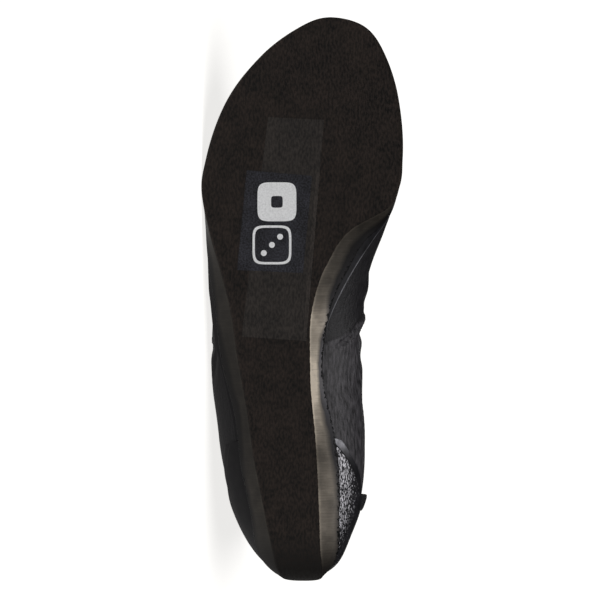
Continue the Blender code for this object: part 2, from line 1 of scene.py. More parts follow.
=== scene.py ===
"""Looks of a right climbing shoe, an empty slip-on slipper that lies on its lateral side.

Lengths are in metres. In the shoe frame x runs from the heel to the toe, y to the medial side and z up
from the tread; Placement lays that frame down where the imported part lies. A column of the shoe is named
by its turn in degrees: 0 at the back of the heel, 180 at the tip of the toe, negative on the lateral side
and positive on the medial side. climb is the place up a column: -1 at the inner edge of the lasting
margin, 0 at the turned edge, 1 at the widest line and 2 at the collar or at the ridge of the forefoot.
"""

import json
import logging
import math
from collections.abc import Callable, Sequence
from dataclasses import dataclass, field
from enum import Enum

import bmesh
import bpy
import numpy as np
from mathutils import Matrix


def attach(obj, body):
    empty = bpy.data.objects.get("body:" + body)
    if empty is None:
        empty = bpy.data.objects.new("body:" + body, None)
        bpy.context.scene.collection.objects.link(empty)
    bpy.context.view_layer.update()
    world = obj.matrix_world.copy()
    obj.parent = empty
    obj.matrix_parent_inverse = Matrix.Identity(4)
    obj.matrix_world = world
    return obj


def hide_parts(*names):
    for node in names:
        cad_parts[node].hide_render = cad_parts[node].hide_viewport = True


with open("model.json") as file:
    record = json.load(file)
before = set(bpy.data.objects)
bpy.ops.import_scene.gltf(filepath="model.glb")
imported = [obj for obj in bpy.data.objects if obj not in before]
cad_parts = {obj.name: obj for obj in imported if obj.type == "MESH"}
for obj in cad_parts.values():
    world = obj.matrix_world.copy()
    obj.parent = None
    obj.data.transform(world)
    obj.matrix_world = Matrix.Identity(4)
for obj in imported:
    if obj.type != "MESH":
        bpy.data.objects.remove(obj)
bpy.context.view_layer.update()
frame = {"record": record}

log = logging.getLogger("climbing_shoe")

Array = np.ndarray
Surface = Callable[[Array, Array], Array]
Pair = tuple[float, float]
Triple = tuple[float, float, float]
Tree = bpy.types.NodeTree
Socket = bpy.types.NodeSocket

MM = 0.001
DEG = math.pi / 180.0
BODY = "root"


class Slot(Enum):
    """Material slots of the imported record."""

    SOLE = "sole_rubber"
    RAND = "rand_rubber"
    LEATHER = "upper_leather"
    LINING = "insole_lining"
    WEBBING = "loop_webbing"


class Side(Enum):
    """The two sides of the shoe, with the sign of their turns."""

    LATERAL = -1.0
    MEDIAL = 1.0


def ease(share: Array) -> Array:
    """Soft step from 0 to 1: 3 s squared minus 2 s cubed."""
    share = np.clip(share, 0.0, 1.0)
    return share * share * (3.0 - 2.0 * share)


def unit(vectors: Array) -> Array:
    """Vectors scaled to length 1."""
    return vectors / np.maximum(np.linalg.norm(vectors, axis=-1, keepdims=True), 1e-12)


def bump_at(distance: Array, width: float) -> Array:
    """Bell curve of a distance: 1 at 0, e to the minus 1 at the width."""
    return np.exp(-((distance / width) ** 2))


def smooth(knots: Array, values: Array, at: Array) -> Array:
    """Smooth curve through a table: cubic pieces whose slopes come from each knot's neighbours.

    Args:
        knots: Places of the table's rows, rising.
        values: The values there.
        at: Where to read the curve.

    Returns:
        The curve's values at those places.
    """
    steps = np.diff(knots)
    rates = np.diff(values) / steps
    inner = (rates[:-1] * steps[1:] + rates[1:] * steps[:-1]) / (steps[:-1] + steps[1:])
    slopes = np.concatenate(([rates[0]], inner, [rates[-1]]))
    index = np.clip(np.searchsorted(knots, at, side="right") - 1, 0, len(steps) - 1)
    step = steps[index]
    t = (at - knots[index]) / step
    start = values[index] * (1 + 2 * t) * (1 - t) ** 2 + slopes[index] * step * t * (1 - t) ** 2
    end = values[index + 1] * t * t * (3 - 2 * t) + slopes[index + 1] * step * t * t * (t - 1)
    return start + end


def bezier(a: Array, b: Array, c: Array, d: Array, t: Array) -> Array:
    """Cubic Bezier curve from a to d with handles b and c."""
    t = t[..., None]
    return a * (1 - t) ** 3 + 3 * b * t * (1 - t) ** 2 + 3 * c * t * t * (1 - t) + d * t ** 3


def wobble(at: Array, pitch: float, seed: float) -> Array:
    """Uneven hand-made line between about -1 and 1: five sines of unrelated pitches and phases.

    Args:
        at: Places along the line.
        pitch: The waves' mean length, in the unit of the places.
        seed: Picks the phases.

    Returns:
        The line's height at each place.
    """
    waves = np.arange(1.0, 6.0)
    phases = np.sin(waves * 12.9898 + seed * 78.233) * 43.7585
    pitches = pitch * (0.45 + 0.37 * waves)
    return np.mean(np.sin(2 * math.pi * at[..., None] / pitches + phases), axis=-1) * 1.6


class Table:
    """A short table with named columns."""

    def __init__(self, columns: Sequence[str], rows: Sequence[Sequence[float]]) -> None:
        """Keeps the columns as arrays by name."""
        self.columns = dict(zip(columns, np.array(rows, float).T))

    def read(self, name: str, at: Array) -> Array:
        """Smooth curve through one column over the table's first column."""
        return smooth(next(iter(self.columns.values())), self.columns[name], at)

    def around(self, lateral: str, medial: str, turn: Array) -> Array:
        """Two-sided column over the turn, smooth round the heel and, if it reaches it, round the toe.

        Args:
            lateral: The column that negative turns read.
            medial: The column that positive turns read.
            turn: Where to read them.

        Returns:
            The values there.
        """
        turns = next(iter(self.columns.values()))
        left, right = self.columns[lateral], self.columns[medial]
        knots = np.concatenate((-turns[:0:-1], turns))
        values = np.concatenate((left[:0:-1], right))
        if turns[-1] == 180.0:
            knots = np.concatenate((knots[-3:-1] - 360.0, knots, knots[1:3] + 360.0))
            values = np.concatenate((values[-3:-1], values, values[1:3]))
        return smooth(knots, values, turn)


# Plan of the shoe by turn: y as a share of the width there, heights as shares of theirs.
PLAN = Table(
    ("turn", "tread_lateral", "tread_medial", "seat_lateral", "seat_medial", "wide_lateral", "wide_medial",
     "bulge_lateral", "bulge_medial", "rim_lateral", "rim_medial", "rand_lateral", "rand_medial"),
    (
        (0.0, 0.002, 0.002, -0.033, -0.033, -0.009, -0.009, 0.83, 0.83, 0.40, 0.40, 0.40, 0.40),
        (7.0, -0.112, 0.118, -0.097, 0.031, -0.112, 0.097, 0.84, 0.84, 0.80, 0.80, 0.40, 0.40),
        (15.0, -0.148, 0.141, -0.158, 0.092, -0.212, 0.185, 0.87, 0.87, 0.90, 0.93, 0.40, 0.40),
        (30.0, -0.194, 0.135, -0.203, 0.130, -0.373, 0.284, 0.93, 0.93, 0.90, 1.00, 0.40, 0.40),
        (45.0, -0.255, 0.127, -0.250, 0.125, -0.495, 0.380, 0.90, 1.00, 0.90, 0.95, 0.42, 0.42),
        (60.0, -0.329, 0.106, -0.311, 0.076, -0.570, 0.397, 0.82, 1.00, 0.88, 0.95, 0.46, 0.44),
        (75.0, -0.372, 0.062, -0.353, 0.028, -0.574, 0.345, 0.78, 1.03, 0.90, 0.76, 0.58, 0.44),
        (90.0, -0.377, 0.073, -0.366, 0.059, -0.488, 0.317, 0.72, 0.97, 0.95, 0.86, 0.66, 0.46),
        (97.5, -0.404, 0.136, -0.380, 0.134, -0.462, 0.337, 0.62, 0.83, 1.00, 0.90, 0.66, 0.49),
        (105.0, -0.447, 0.266, -0.390, 0.253, -0.453, 0.400, 0.52, 0.70, 1.00, 0.85, 0.66, 0.53),
        (109.0, -0.468, 0.429, -0.391, 0.341, -0.451, 0.433, 0.43, 0.63, 1.00, 1.00, 0.68, 0.60),
        (114.0, -0.482, 0.486, -0.387, 0.389, -0.446, 0.455, 0.43, 0.57, 1.00, 1.00, 0.70, 0.70),
        (120.0, -0.460, 0.499, -0.369, 0.402, -0.426, 0.468, 0.43, 0.53, 1.00, 1.00, 0.75, 0.88),
        (135.0, -0.358, 0.480, -0.275, 0.389, -0.330, 0.451, 0.42, 0.50, 1.00, 1.00, 0.88, 0.96),
        (150.0, -0.189, 0.414, -0.125, 0.327, -0.169, 0.385, 0.40, 0.47, 1.00, 1.00, 0.96, 1.00),
        (165.0, -0.004, 0.315, 0.037, 0.248, 0.010, 0.292, 0.40, 0.43, 1.00, 1.00, 1.00, 1.00),
        (180.0, 0.145, 0.145, 0.145, 0.145, 0.145, 0.145, 0.40, 0.40, 1.00, 1.00, 1.00, 1.00),
    ),
)

# The collar's edge from the back of the heel to the throat, mirrored past the throat
COLLAR = Table(
    ("along", "height", "middle"),
    ((0.00, 0.880, -0.068), (0.20, 0.835, -0.062), (0.45, 0.690, -0.050), (0.65, 0.715, -0.042),
     (0.85, 0.875, -0.034), (1.00, 1.000, -0.030), (1.15, 0.875, -0.034), (1.35, 0.715, -0.042)),
)

# The ridge of the forefoot from the throat to the toe box
RIDGE = Table(
    ("along", "height", "side"),
    ((0.00, 1.000, -0.022), (0.25, 0.732, 0.002), (0.45, 0.500, 0.036), (0.65, 0.318, 0.086),
     (0.85, 0.152, 0.138), (1.00, 0.000, 0.176)),
)

# Top edge of the heel rand and the thin lip beyond it, as shares of the rand's height at the back
HEEL_RAND = Table(
    ("turn", "lateral", "medial", "lip"),
    ((0.0, 1.00, 1.00, 0.07), (12.0, 0.97, 0.97, 0.07), (24.0, 0.86, 0.86, 0.07), (33.0, 0.72, 0.72, 0.07),
     (40.0, 0.56, 0.60, 0.08), (45.0, 0.44, 0.47, 0.10), (50.0, 0.34, 0.32, 0.14), (54.0, 0.27, 0.21, 0.11),
     (57.5, 0.22, 0.14, 0.09)),
)

# Rubber dust on the ground edge of the sole with a painted highlight, both most in the medial arch where the
# bevel faces the light from above, and how far across the bevel they reach
DUST_AND_SHEEN = Table(
    ("turn", "lateral", "medial", "reach"),
    ((0.0, 0.02, 0.03, 0.95), (15.0, 0.02, 0.12, 0.95), (30.0, 0.02, 0.20, 0.90), (45.0, 0.03, 0.27, 0.85),
     (58.0, 0.02, 0.23, 0.70), (67.0, 0.02, 0.68, 0.55), (73.0, 0.02, 1.35, 0.62), (78.0, 0.02, 0.85, 0.62),
     (82.0, 0.02, 0.42, 0.75), (85.5, 0.02, 0.62, 0.95), (90.0, 0.02, 0.24, 0.80), (98.0, 0.02, 0.10, 0.62),
     (112.0, 0.02, 0.03, 0.60), (150.0, 0.01, 0.02, 1.00), (180.0, 0.01, 0.01, 1.00)),
)

# The pull loop's path by its own run: the climb of the wall, the rise above the collar, the side of the wall
LOOP = Table(
    ("run", "climb", "rise", "side"),
    ((0.0, 1.66, 0.00, 1.0), (1.0, 1.83, 0.00, 1.0), (2.0, 1.99, 0.00, 1.1), (3.0, 2.00, 0.40, 4.0),
     (4.0, 2.00, 0.82, 7.4), (5.0, 2.00, 1.00, 7.4), (6.0, 2.00, 0.86, 5.0), (7.0, 2.00, 0.42, -0.7),
     (8.0, 1.99, 0.00, -1.0), (9.0, 1.83, 0.00, -1.0), (10.0, 1.66, 0.00, -1.0)),
)


class Placement:
    """Where the shoe lies: its frame, found from the flat under the forefoot that the record names."""

    FOREFOOT_FLAT_X = 172 * MM

    def __init__(self, record: dict) -> None:
        """Reads the flat's place and outward direction.

        Args:
            record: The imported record, whose mounts name the flat.
        """
        flat = next(mount for mount in record["mounts"] if mount["name"] == "forefoot_flat")
        toe = np.array((-1.0, 0.0, 0.0))
        up = -unit(np.array(flat["axis"], float))
        self.axes = np.array((toe, np.cross(up, toe), up))
        self.origin = np.array(flat["pos_m"], float) - toe * self.FOREFOOT_FLAT_X

    def lay(self, points: Array) -> Array:
        """Points of the shoe frame in the row frame: origin plus each coordinate along its axis."""
        return self.origin + points @ self.axes


@dataclass
class ShoeForm:
    """The form of the shoe: one outer face of turn and climb, which every piece is an offset of."""

    length: float = 250 * MM
    ball_width: float = 91 * MM
    heel_width: float = 66 * MM
    quarter_height: float = 30 * MM
    throat_height: float = 83 * MM
    toe_height: float = 29 * MM
    sole_thickness: float = 4.5 * MM
    rim_height: float = 8.0 * MM
    rim_thickness: float = 1.2 * MM
    heel_roll_length: float = 26 * MM
    heel_roll_height: float = 17 * MM
    arch_lift: float = 3 * MM
    toe_spring: float = 2 * MM
    upper_wall: float = 1.8 * MM
    lasting_margin: float = 4 * MM
    rand_thickness: float = 1.6 * MM
    floor_lean: float = 8.5 * DEG
    stand_back_top: float = 14 * MM
    stand_back_fade: float = 7 * MM
    gap: float = 0.3 * MM
    rand_gap: float = 0.45 * MM
    collar_back: float = 11 * MM
    collar_front: float = 111 * MM
    collar_width: float = 54 * MM
    throat_turn: float = 95.0
    ridge_front: float = 0.928
    width_span: Pair = (0.25, 0.62)
    arch_span: Pair = (0.20, 0.56)
    spring_start: float = 0.80
    spring_share: float = 1.2
    collar_roundness: float = 0.9
    collar_steepness: float = 5.0
    across_span: Pair = (55.0, 100.0)
    handles: tuple[float, float, float, float] = (0.42, 0.55, 0.46, 0.35)
    turn_step: float = 0.5
    climb_step: float = 0.02
    reach: dict[str, tuple[float, float]] = field(
        default_factory=lambda: {"tread": (0.0, 1.0), "seat": (0.048, 0.958), "wide": (0.0116, 0.9884)}
    )
    side_floor: float = -1.0

    def __post_init__(self) -> None:
        """Finds the floor beside the shoe, which the sole's lateral edge touches."""
        turn = np.arange(-180.0, -60.0, 5.0)
        x, y = self.plan_line("tread", turn)
        climb = self.climb_to(turn, self.rim_top(turn))
        rim = self.offset(turn, climb, self.rand_outside + self.gap + self.rim_thickness, self.free_skin)
        lean = math.tan(self.floor_lean)
        self.side_floor = min(np.min(y - self.tread_height(x) * lean), np.min(rim[:, 1] - rim[:, 2] * lean))

    @property
    def rand_outside(self) -> float:
        """Offset of the rands' outer face from the upper."""
        return self.rand_gap + self.rand_thickness

    def travel(self, turn: Array) -> Array:
        """How far along the shoe a turn lies: half of 1 minus its cosine."""
        return (1 - np.cos(np.radians(turn))) / 2

    def plan(self, name: str, turn: Array) -> Array:
        """A two-sided column of the plan."""
        return PLAN.around(name + "_lateral", name + "_medial", turn)

    def plan_line(self, name: str, turn: Array) -> tuple[Array, Array]:
        """x and y of the tread, seat or wide line.

        Args:
            name: tread, seat or wide.
            turn: The columns.

        Returns:
            Their x and their y.
        """
        share = self.travel(turn)
        start, end = self.reach[name]
        narrow, wide = self.width_span
        widening = ease((share - narrow) / (wide - narrow))
        width = self.heel_width + (self.ball_width - self.heel_width) * widening
        return self.length * (start + (end - start) * share), width * self.plan(name, turn)

    def tread_height(self, x: Array) -> Array:
        """Height of the underside: elliptic heel roll, sine-squared arch and squared toe spring.

        Args:
            x: Places along the shoe.

        Returns:
            The heights there.
        """
        roll = np.clip(1 - x / self.heel_roll_length, 0.0, 1.0)
        rolled = self.heel_roll_height * (1 - np.sqrt(1 - roll ** 2))
        start, end = self.arch_span
        within = np.clip((x / self.length - start) / (end - start), 0.0, 1.0)
        arch = self.arch_lift * np.sin(math.pi * within) ** 2
        ahead = (x / self.length - self.spring_start) / (1.0 - self.spring_start)
        return rolled + arch + self.toe_spring * np.clip(ahead, 0.0, self.spring_share) ** 2

    def seat_height(self, x: Array) -> Array:
        """Height of the top of the sole under the upper."""
        return self.tread_height(x) + self.sole_thickness + self.gap

    def seat_edge(self, turn: Array) -> tuple[Array, Array]:
        """The turned lower edge of the upper, and the outward direction in which its wall leaves it.

        Args:
            turn: The columns.

        Returns:
            The edge's points and the directions.
        """
        x, y = self.plan_line("seat", turn)
        ahead, behind = self.plan_line("seat", turn + 1.0), self.plan_line("seat", turn - 1.0)
        along = unit(np.stack((ahead[0] - behind[0], ahead[1] - behind[1]), axis=-1))
        slope = (self.seat_height(x + MM) - self.seat_height(x - MM)) / (2 * MM)
        out = np.stack((-along[..., 1], along[..., 0], -along[..., 1] * slope), axis=-1)
        return np.stack((x, y, self.seat_height(x)), axis=-1), out

    def wide_line(self, turn: Array) -> Array:
        """The widest line of the upper."""
        x, y = self.plan_line("wide", turn)
        return np.stack((x, y, self.quarter_height * self.plan("bulge", turn)), axis=-1)

    def collar_edge(self, turn: Array) -> tuple[Array, Array]:
        """The collar's edge, and the direction in which the wall arrives there.

        Args:
            turn: The columns.

        Returns:
            The edge's points and the directions.
        """
        share = np.clip(np.abs(turn) / self.throat_turn, 0.0, 1.0)
        knots = np.concatenate((-COLLAR.columns["along"][5:0:-1], COLLAR.columns["along"]))
        height, middle = (
            smooth(knots, np.concatenate((COLLAR.columns[name][5:0:-1], COLLAR.columns[name])), share)
            for name in ("height", "middle")
        )
        around = math.pi * share
        x = self.collar_back + (self.collar_front - self.collar_back) * (1 - np.cos(around)) / 2
        bow = self.collar_width / 2 * np.sin(around) ** self.collar_roundness
        y = self.heel_width * middle + np.sign(turn) * bow
        steep = np.full_like(x, self.collar_steepness)
        lean = np.stack((np.cos(around), -np.sign(turn) * np.sin(around), steep), axis=-1)
        return np.stack((x, y, self.throat_height * height), axis=-1), unit(lean)

    def ridge_line(self, turn: Array) -> tuple[Array, Array, Array]:
        """The forefoot's ridge, its slope there, and its direction in plan.

        Args:
            turn: The columns.

        Returns:
            The ridge's points, its slopes and its directions in plan.
        """
        first, last = (self.wide_line(np.array(at))[0] for at in (self.throat_turn, 180.0))
        share = np.clip((self.wide_line(turn)[..., 0] - first) / (last - first), 0.0, 1.0)

        def point(at: Array) -> Array:
            """Points of the ridge by their shares from the throat to the toe box.

            Args:
                at: The shares.

            Returns:
                The points.
            """
            x = self.collar_front + (self.ridge_front * self.length - self.collar_front) * at
            z = self.toe_height + (self.throat_height - self.toe_height) * RIDGE.read("height", at)
            return np.stack((x, self.ball_width * RIDGE.read("side", at), z), axis=-1)

        run = point(share + 0.01) - point(share - 0.01)
        level = np.linalg.norm(run[..., :2], axis=-1)
        return point(share), run[..., 2] / level, run[..., :2] / level[..., None]

    def top_line(self, turn: Array) -> tuple[Array, Array]:
        """Upper end of a column, on the collar or the ridge, and the direction of arrival.

        Args:
            turn: The columns.

        Returns:
            The ends and the directions.
        """
        edge, lean = self.collar_edge(turn)
        ridge, slope, run = self.ridge_line(turn)
        over = np.abs(turn) >= self.throat_turn
        top = np.where(over[..., None], ridge, edge)
        inward = unit((top - self.wide_line(turn))[..., :2])
        across = np.concatenate((inward, (slope * np.sum(inward * run, axis=-1))[..., None]), axis=-1)
        start, end = self.across_span
        share = ease((np.abs(turn) - start) / (end - start))[..., None]
        return top, unit(lean * (1 - share) + across * share)

    def free_skin(self, turn: Array, climb: Array) -> Array:
        """Outer face before it is pressed against the floor: one Bezier up to the widest line, one above.

        Args:
            turn: The columns.
            climb: The places up them.

        Returns:
            The face's points.
        """
        turn, climb = np.broadcast_arrays(np.asarray(turn, float), np.asarray(climb, float))
        seat, out = self.seat_edge(turn)
        wide = self.wide_line(turn)
        top, arrival = self.top_line(turn)
        up = np.array((0.0, 0.0, 1.0))
        spread = np.linalg.norm((wide - seat)[..., :2], axis=-1)[..., None]
        lift = (wide - seat)[..., 2:]
        leave, sink, stand, arrive = self.handles
        low = bezier(seat, seat + out * spread * leave, wide - up * lift * sink, wide, np.clip(climb, 0, 1))
        rise = (top - wide)[..., 2:]
        reach = np.linalg.norm(top - wide, axis=-1)[..., None]
        before = top - arrival * reach * arrive
        high = bezier(wide, wide + up * rise * stand, before, top, np.clip(climb - 1, 0, 1))
        under = seat + out * self.lasting_margin * np.minimum(climb, 0.0)[..., None]
        under[..., 2] = self.seat_height(under[..., 0])
        wall = np.where((climb > 1)[..., None], high, low)
        return np.where((climb < 0)[..., None], under, wall)

    def skin(self, turn: Array, climb: Array) -> Array:
        """Outer face, pressed flat where it lies on the floor beside the shoe.

        Args:
            turn: The columns.
            climb: The places up them.

        Returns:
            The face's points.
        """
        point = self.free_skin(turn, climb)
        z = point[..., 2]
        behind_rand = 1 - ease((z - self.stand_back_top) / self.stand_back_fade)
        limit = self.side_floor + z * math.tan(self.floor_lean) + behind_rand * (self.rand_outside + self.gap)
        point[..., 1] = np.maximum(point[..., 1], limit)
        return point

    def outward(self, turn: Array, climb: Array, surface: Surface | None = None) -> Array:
        """Outward direction: the cross product of the steps up and along, shared by both sides on the ridge.

        Args:
            turn: The columns.
            climb: The places up them.
            surface: The face to measure, or None for the pressed one.

        Returns:
            The directions.
        """
        surface = surface or self.skin
        turn, climb = np.broadcast_arrays(np.asarray(turn, float), np.asarray(climb, float))

        def one_side(at: Array) -> Array:
            """The directions from one side's own steps.

            Args:
                at: The columns.

            Returns:
                The directions.
            """
            above, below = np.minimum(climb + self.climb_step, 2.0), np.maximum(climb - self.climb_step, -1.0)
            up = surface(at, above) - surface(at, below)
            along = surface(at + self.turn_step, climb) - surface(at - self.turn_step, climb)
            return unit(np.cross(up, along))

        normal = one_side(turn)
        shared = unit(normal + one_side(-turn))
        zipped = (climb >= 2.0) & (np.abs(turn) >= self.throat_turn)
        return np.where(zipped[..., None], shared, normal)

    def offset(self, turn: Array, climb: Array, distance: Array | float,
               surface: Surface | None = None) -> Array:
        """The outer face moved outwards, or inwards by a negative distance.

        Args:
            turn: The columns.
            climb: The places up them.
            distance: How far to move.
            surface: The face to move, or None for the pressed one.

        Returns:
            The moved points.
        """
        surface = surface or self.skin
        far = np.broadcast_arrays(np.asarray(distance, float), np.asarray(turn, float) + climb)[0]
        return surface(turn, climb) + self.outward(turn, climb, surface) * far[..., None]

    def climb_to(self, turn: Array, height: Array) -> Array:
        """How far up its column the outer face first reaches a height.

        Args:
            turn: The columns.
            height: A height for each.

        Returns:
            The climbs.
        """
        climbs = np.linspace(0.0, 2.0, 241)
        heights = self.free_skin(turn[None, :], climbs[:, None])[..., 2]
        index = np.clip(np.argmax(heights >= height, axis=0), 1, len(climbs) - 1)
        columns = np.arange(len(turn))
        low, high = heights[index - 1, columns], heights[index, columns]
        share = np.clip((height - low) / np.maximum(high - low, 1e-9), 0.0, 1.0)
        return climbs[index - 1] + share * (climbs[1] - climbs[0])

    def rim_top(self, turn: Array) -> Array:
        """Height of the top of the sole's rim."""
        return self.tread_height(self.plan_line("tread", turn)[0]) + self.rim_height * self.plan("rim", turn)


def linear(colour: str) -> tuple[float, float, float, float]:
    """An sRGB hex colour as linear RGBA."""
    shares = [int(colour[k:k + 2], 16) / 255 for k in (1, 3, 5)]
    return (*(s / 12.92 if s <= 0.04045 else ((s + 0.055) / 1.055) ** 2.4 for s in shares), 1.0)


def add_node(tree: Tree, kind: str, inputs: dict | None = None, **settings: object) -> bpy.types.Node:
    """Adds a node, sets its own values and fills its inputs.

    Args:
        tree: The material's or the world's node tree.
        kind: The node's type name.
        inputs: By input name or number, a value to set there or an output socket to link.
        **settings: Values of the node's own, such as its operation.

    Returns:
        The node.
    """
    node = tree.nodes.new(kind)
    for name, value in settings.items():
        setattr(node, name, value)
    for name, value in (inputs or {}).items():
        if isinstance(value, Socket):
            tree.links.new(value, node.inputs[name])
        else:
            node.inputs[name].default_value = value
    return node


@dataclass(frozen=True)
class Finish:
    """A material: its own name, its base colour, roughness and gloss, and how dress() patterns it."""

    name: str
    colour: str
    roughness: float
    gloss: float = 0.5

    def material(self) -> bpy.types.Material:
        """The Blender material of the finish, made once.

        Returns:
            The material, with the finish's plain values on its shader and its pattern linked to it.
        """
        if self.name in bpy.data.materials:
            return bpy.data.materials[self.name]
        made = bpy.data.materials.new(self.name)
        made.use_nodes = True
        shader = made.node_tree.nodes["Principled BSDF"]
        shader.inputs["Base Color"].default_value = linear(self.colour)
        shader.inputs["Roughness"].default_value = self.roughness
        shader.inputs["Specular IOR Level"].default_value = self.gloss
        self.dress(made.node_tree, shader)
        return made

    def dress(self, tree: Tree, shader: bpy.types.Node) -> None:
        """Adds the finish's pattern to its shader."""
        raise NotImplementedError

    def place(self, tree: Tree, scale: Triple, mapped: bool) -> Socket:
        """Coordinates times a scale: the piece's own map in metres if mapped, or else object space."""
        source = add_node(tree, "ShaderNodeTexCoord").outputs["UV" if mapped else "Object"]
        return add_node(tree, "ShaderNodeMapping", {"Vector": source, "Scale": scale}).outputs["Vector"]

    def grain(self, tree: Tree, size: Triple, mapped: bool = False, detail: float = 4.0) -> Socket:
        """Noise between 0 and 1.

        Args:
            tree: The material's node tree.
            size: The grains' lengths along the three axes; a map has no third one.
            mapped: Whether the noise follows the piece's own map.
            detail: How many finer layers of grains lie on the first.

        Returns:
            The noise's socket.
        """
        vector = self.place(tree, tuple(1.0 / length for length in size), mapped)
        noise = add_node(tree, "ShaderNodeTexNoise", {"Vector": vector, "Scale": 1.0, "Detail": detail})
        return noise.outputs["Fac"]

    def span(self, tree: Tree, value: Socket, before: Pair, after: Pair) -> Socket:
        """A value's span before, mapped to a span after and kept in it."""
        ends = {"From Min": before[0], "From Max": before[1], "To Min": after[0], "To Max": after[1]}
        return add_node(tree, "ShaderNodeMapRange", {"Value": value, **ends}).outputs["Result"]

    def join(self, tree: Tree, first: object, second: object, how: str = "ADD") -> Socket:
        """Two values joined by a math operation, their sum unless it says another."""
        return add_node(tree, "ShaderNodeMath", {0: first, 1: second}, operation=how).outputs["Value"]

    def mark(self, tree: Tree, name: str) -> Socket:
        """A value that the mesh carries at its points."""
        return add_node(tree, "ShaderNodeAttribute", attribute_name=name).outputs["Fac"]

    def mix(self, tree: Tree, share: Socket, first: object, second: object) -> Socket:
        """Two colours mixed.

        Args:
            tree: The material's node tree.
            share: The second colour's share.
            first: A hex word or a socket.
            second: A hex word or a socket.

        Returns:
            The mixed colour's socket.
        """
        first, second = (linear(colour) if isinstance(colour, str) else colour for colour in (first, second))
        node = add_node(tree, "ShaderNodeMix", {"Factor": share}, data_type="RGBA")
        for socket, colour in ((node.inputs[6], first), (node.inputs[7], second)):
            if isinstance(colour, Socket):
                tree.links.new(colour, socket)
            else:
                socket.default_value = colour
        return node.outputs[2]

    def relief(self, tree: Tree, shader: bpy.types.Node, height: Socket, depth: float) -> None:
        """Bump of a height between 0 and 1 that stands for a real depth in metres."""
        bump = add_node(tree, "ShaderNodeBump", {"Height": height, "Distance": depth, "Strength": 1.0})
        tree.links.new(bump.outputs["Normal"], shader.inputs["Normal"])


@dataclass(frozen=True)
class SoleRubber(Finish):
    """What the sole's finishes share: painted shade that darkens their paler tones, and a surface that turns
    dull, at the heel's end.
    """

    heel_end: float = 103 * MM
    heel_tip: float = 119 * MM
    least: float = 0.1

    def heel_end_shade(self, tree: Tree) -> Socket:
        """Painted shade of the heel's rolled end: 1 up to the end of the heel's flat, down to a tenth at its
        tip.
        """
        parts = add_node(tree, "ShaderNodeSeparateXYZ", {"Vector": self.place(tree, (1.0, 1.0, 1.0), False)})
        return self.span(tree, parts.outputs["X"], (self.heel_end, self.heel_tip), (1.0, self.least))


@dataclass(frozen=True)
class TreadRubber(SoleRubber):
    """Moulded and buffed sole rubber: nearly black, with fine specks that are longer along the shoe."""

    light: str = "#29211d"
    speck_length: float = 1.923 * MM
    speck_width: float = 0.87 * MM
    cloud_size: float = 7.14 * MM
    depth: float = 0.06 * MM

    def dress(self, tree: Tree, shader: bpy.types.Node) -> None:
        """Specks drawn coarser than the real ones, so as to show, over a slow mottling.

        Args:
            tree: The material's node tree.
            shader: Its Principled BSDF.
        """
        streak = self.grain(tree, (self.speck_length, self.speck_width, 1.0), mapped=True)
        cloud = self.grain(tree, (self.cloud_size,) * 3, detail=8.0)
        both = self.join(tree, self.span(tree, streak, (0.40, 0.60), (0.0, 0.65)),
                         self.span(tree, cloud, (0.38, 0.62), (0.0, 0.35)))
        fade = self.heel_end_shade(tree)
        # Painted shade: the specks and the mottling fade out towards the heel's end
        light = self.join(tree, both, fade, "MULTIPLY")
        tree.links.new(self.mix(tree, light, self.colour, self.light), shader.inputs["Base Color"])
        uneven = self.span(tree, streak, (0.3, 0.7), (self.roughness - 0.08, self.roughness + 0.12))
        dull = self.span(tree, fade, (self.least, 1.0), (0.35, 0.0))
        tree.links.new(self.join(tree, uneven, dull), shader.inputs["Roughness"])
        self.relief(tree, shader, streak, self.depth)


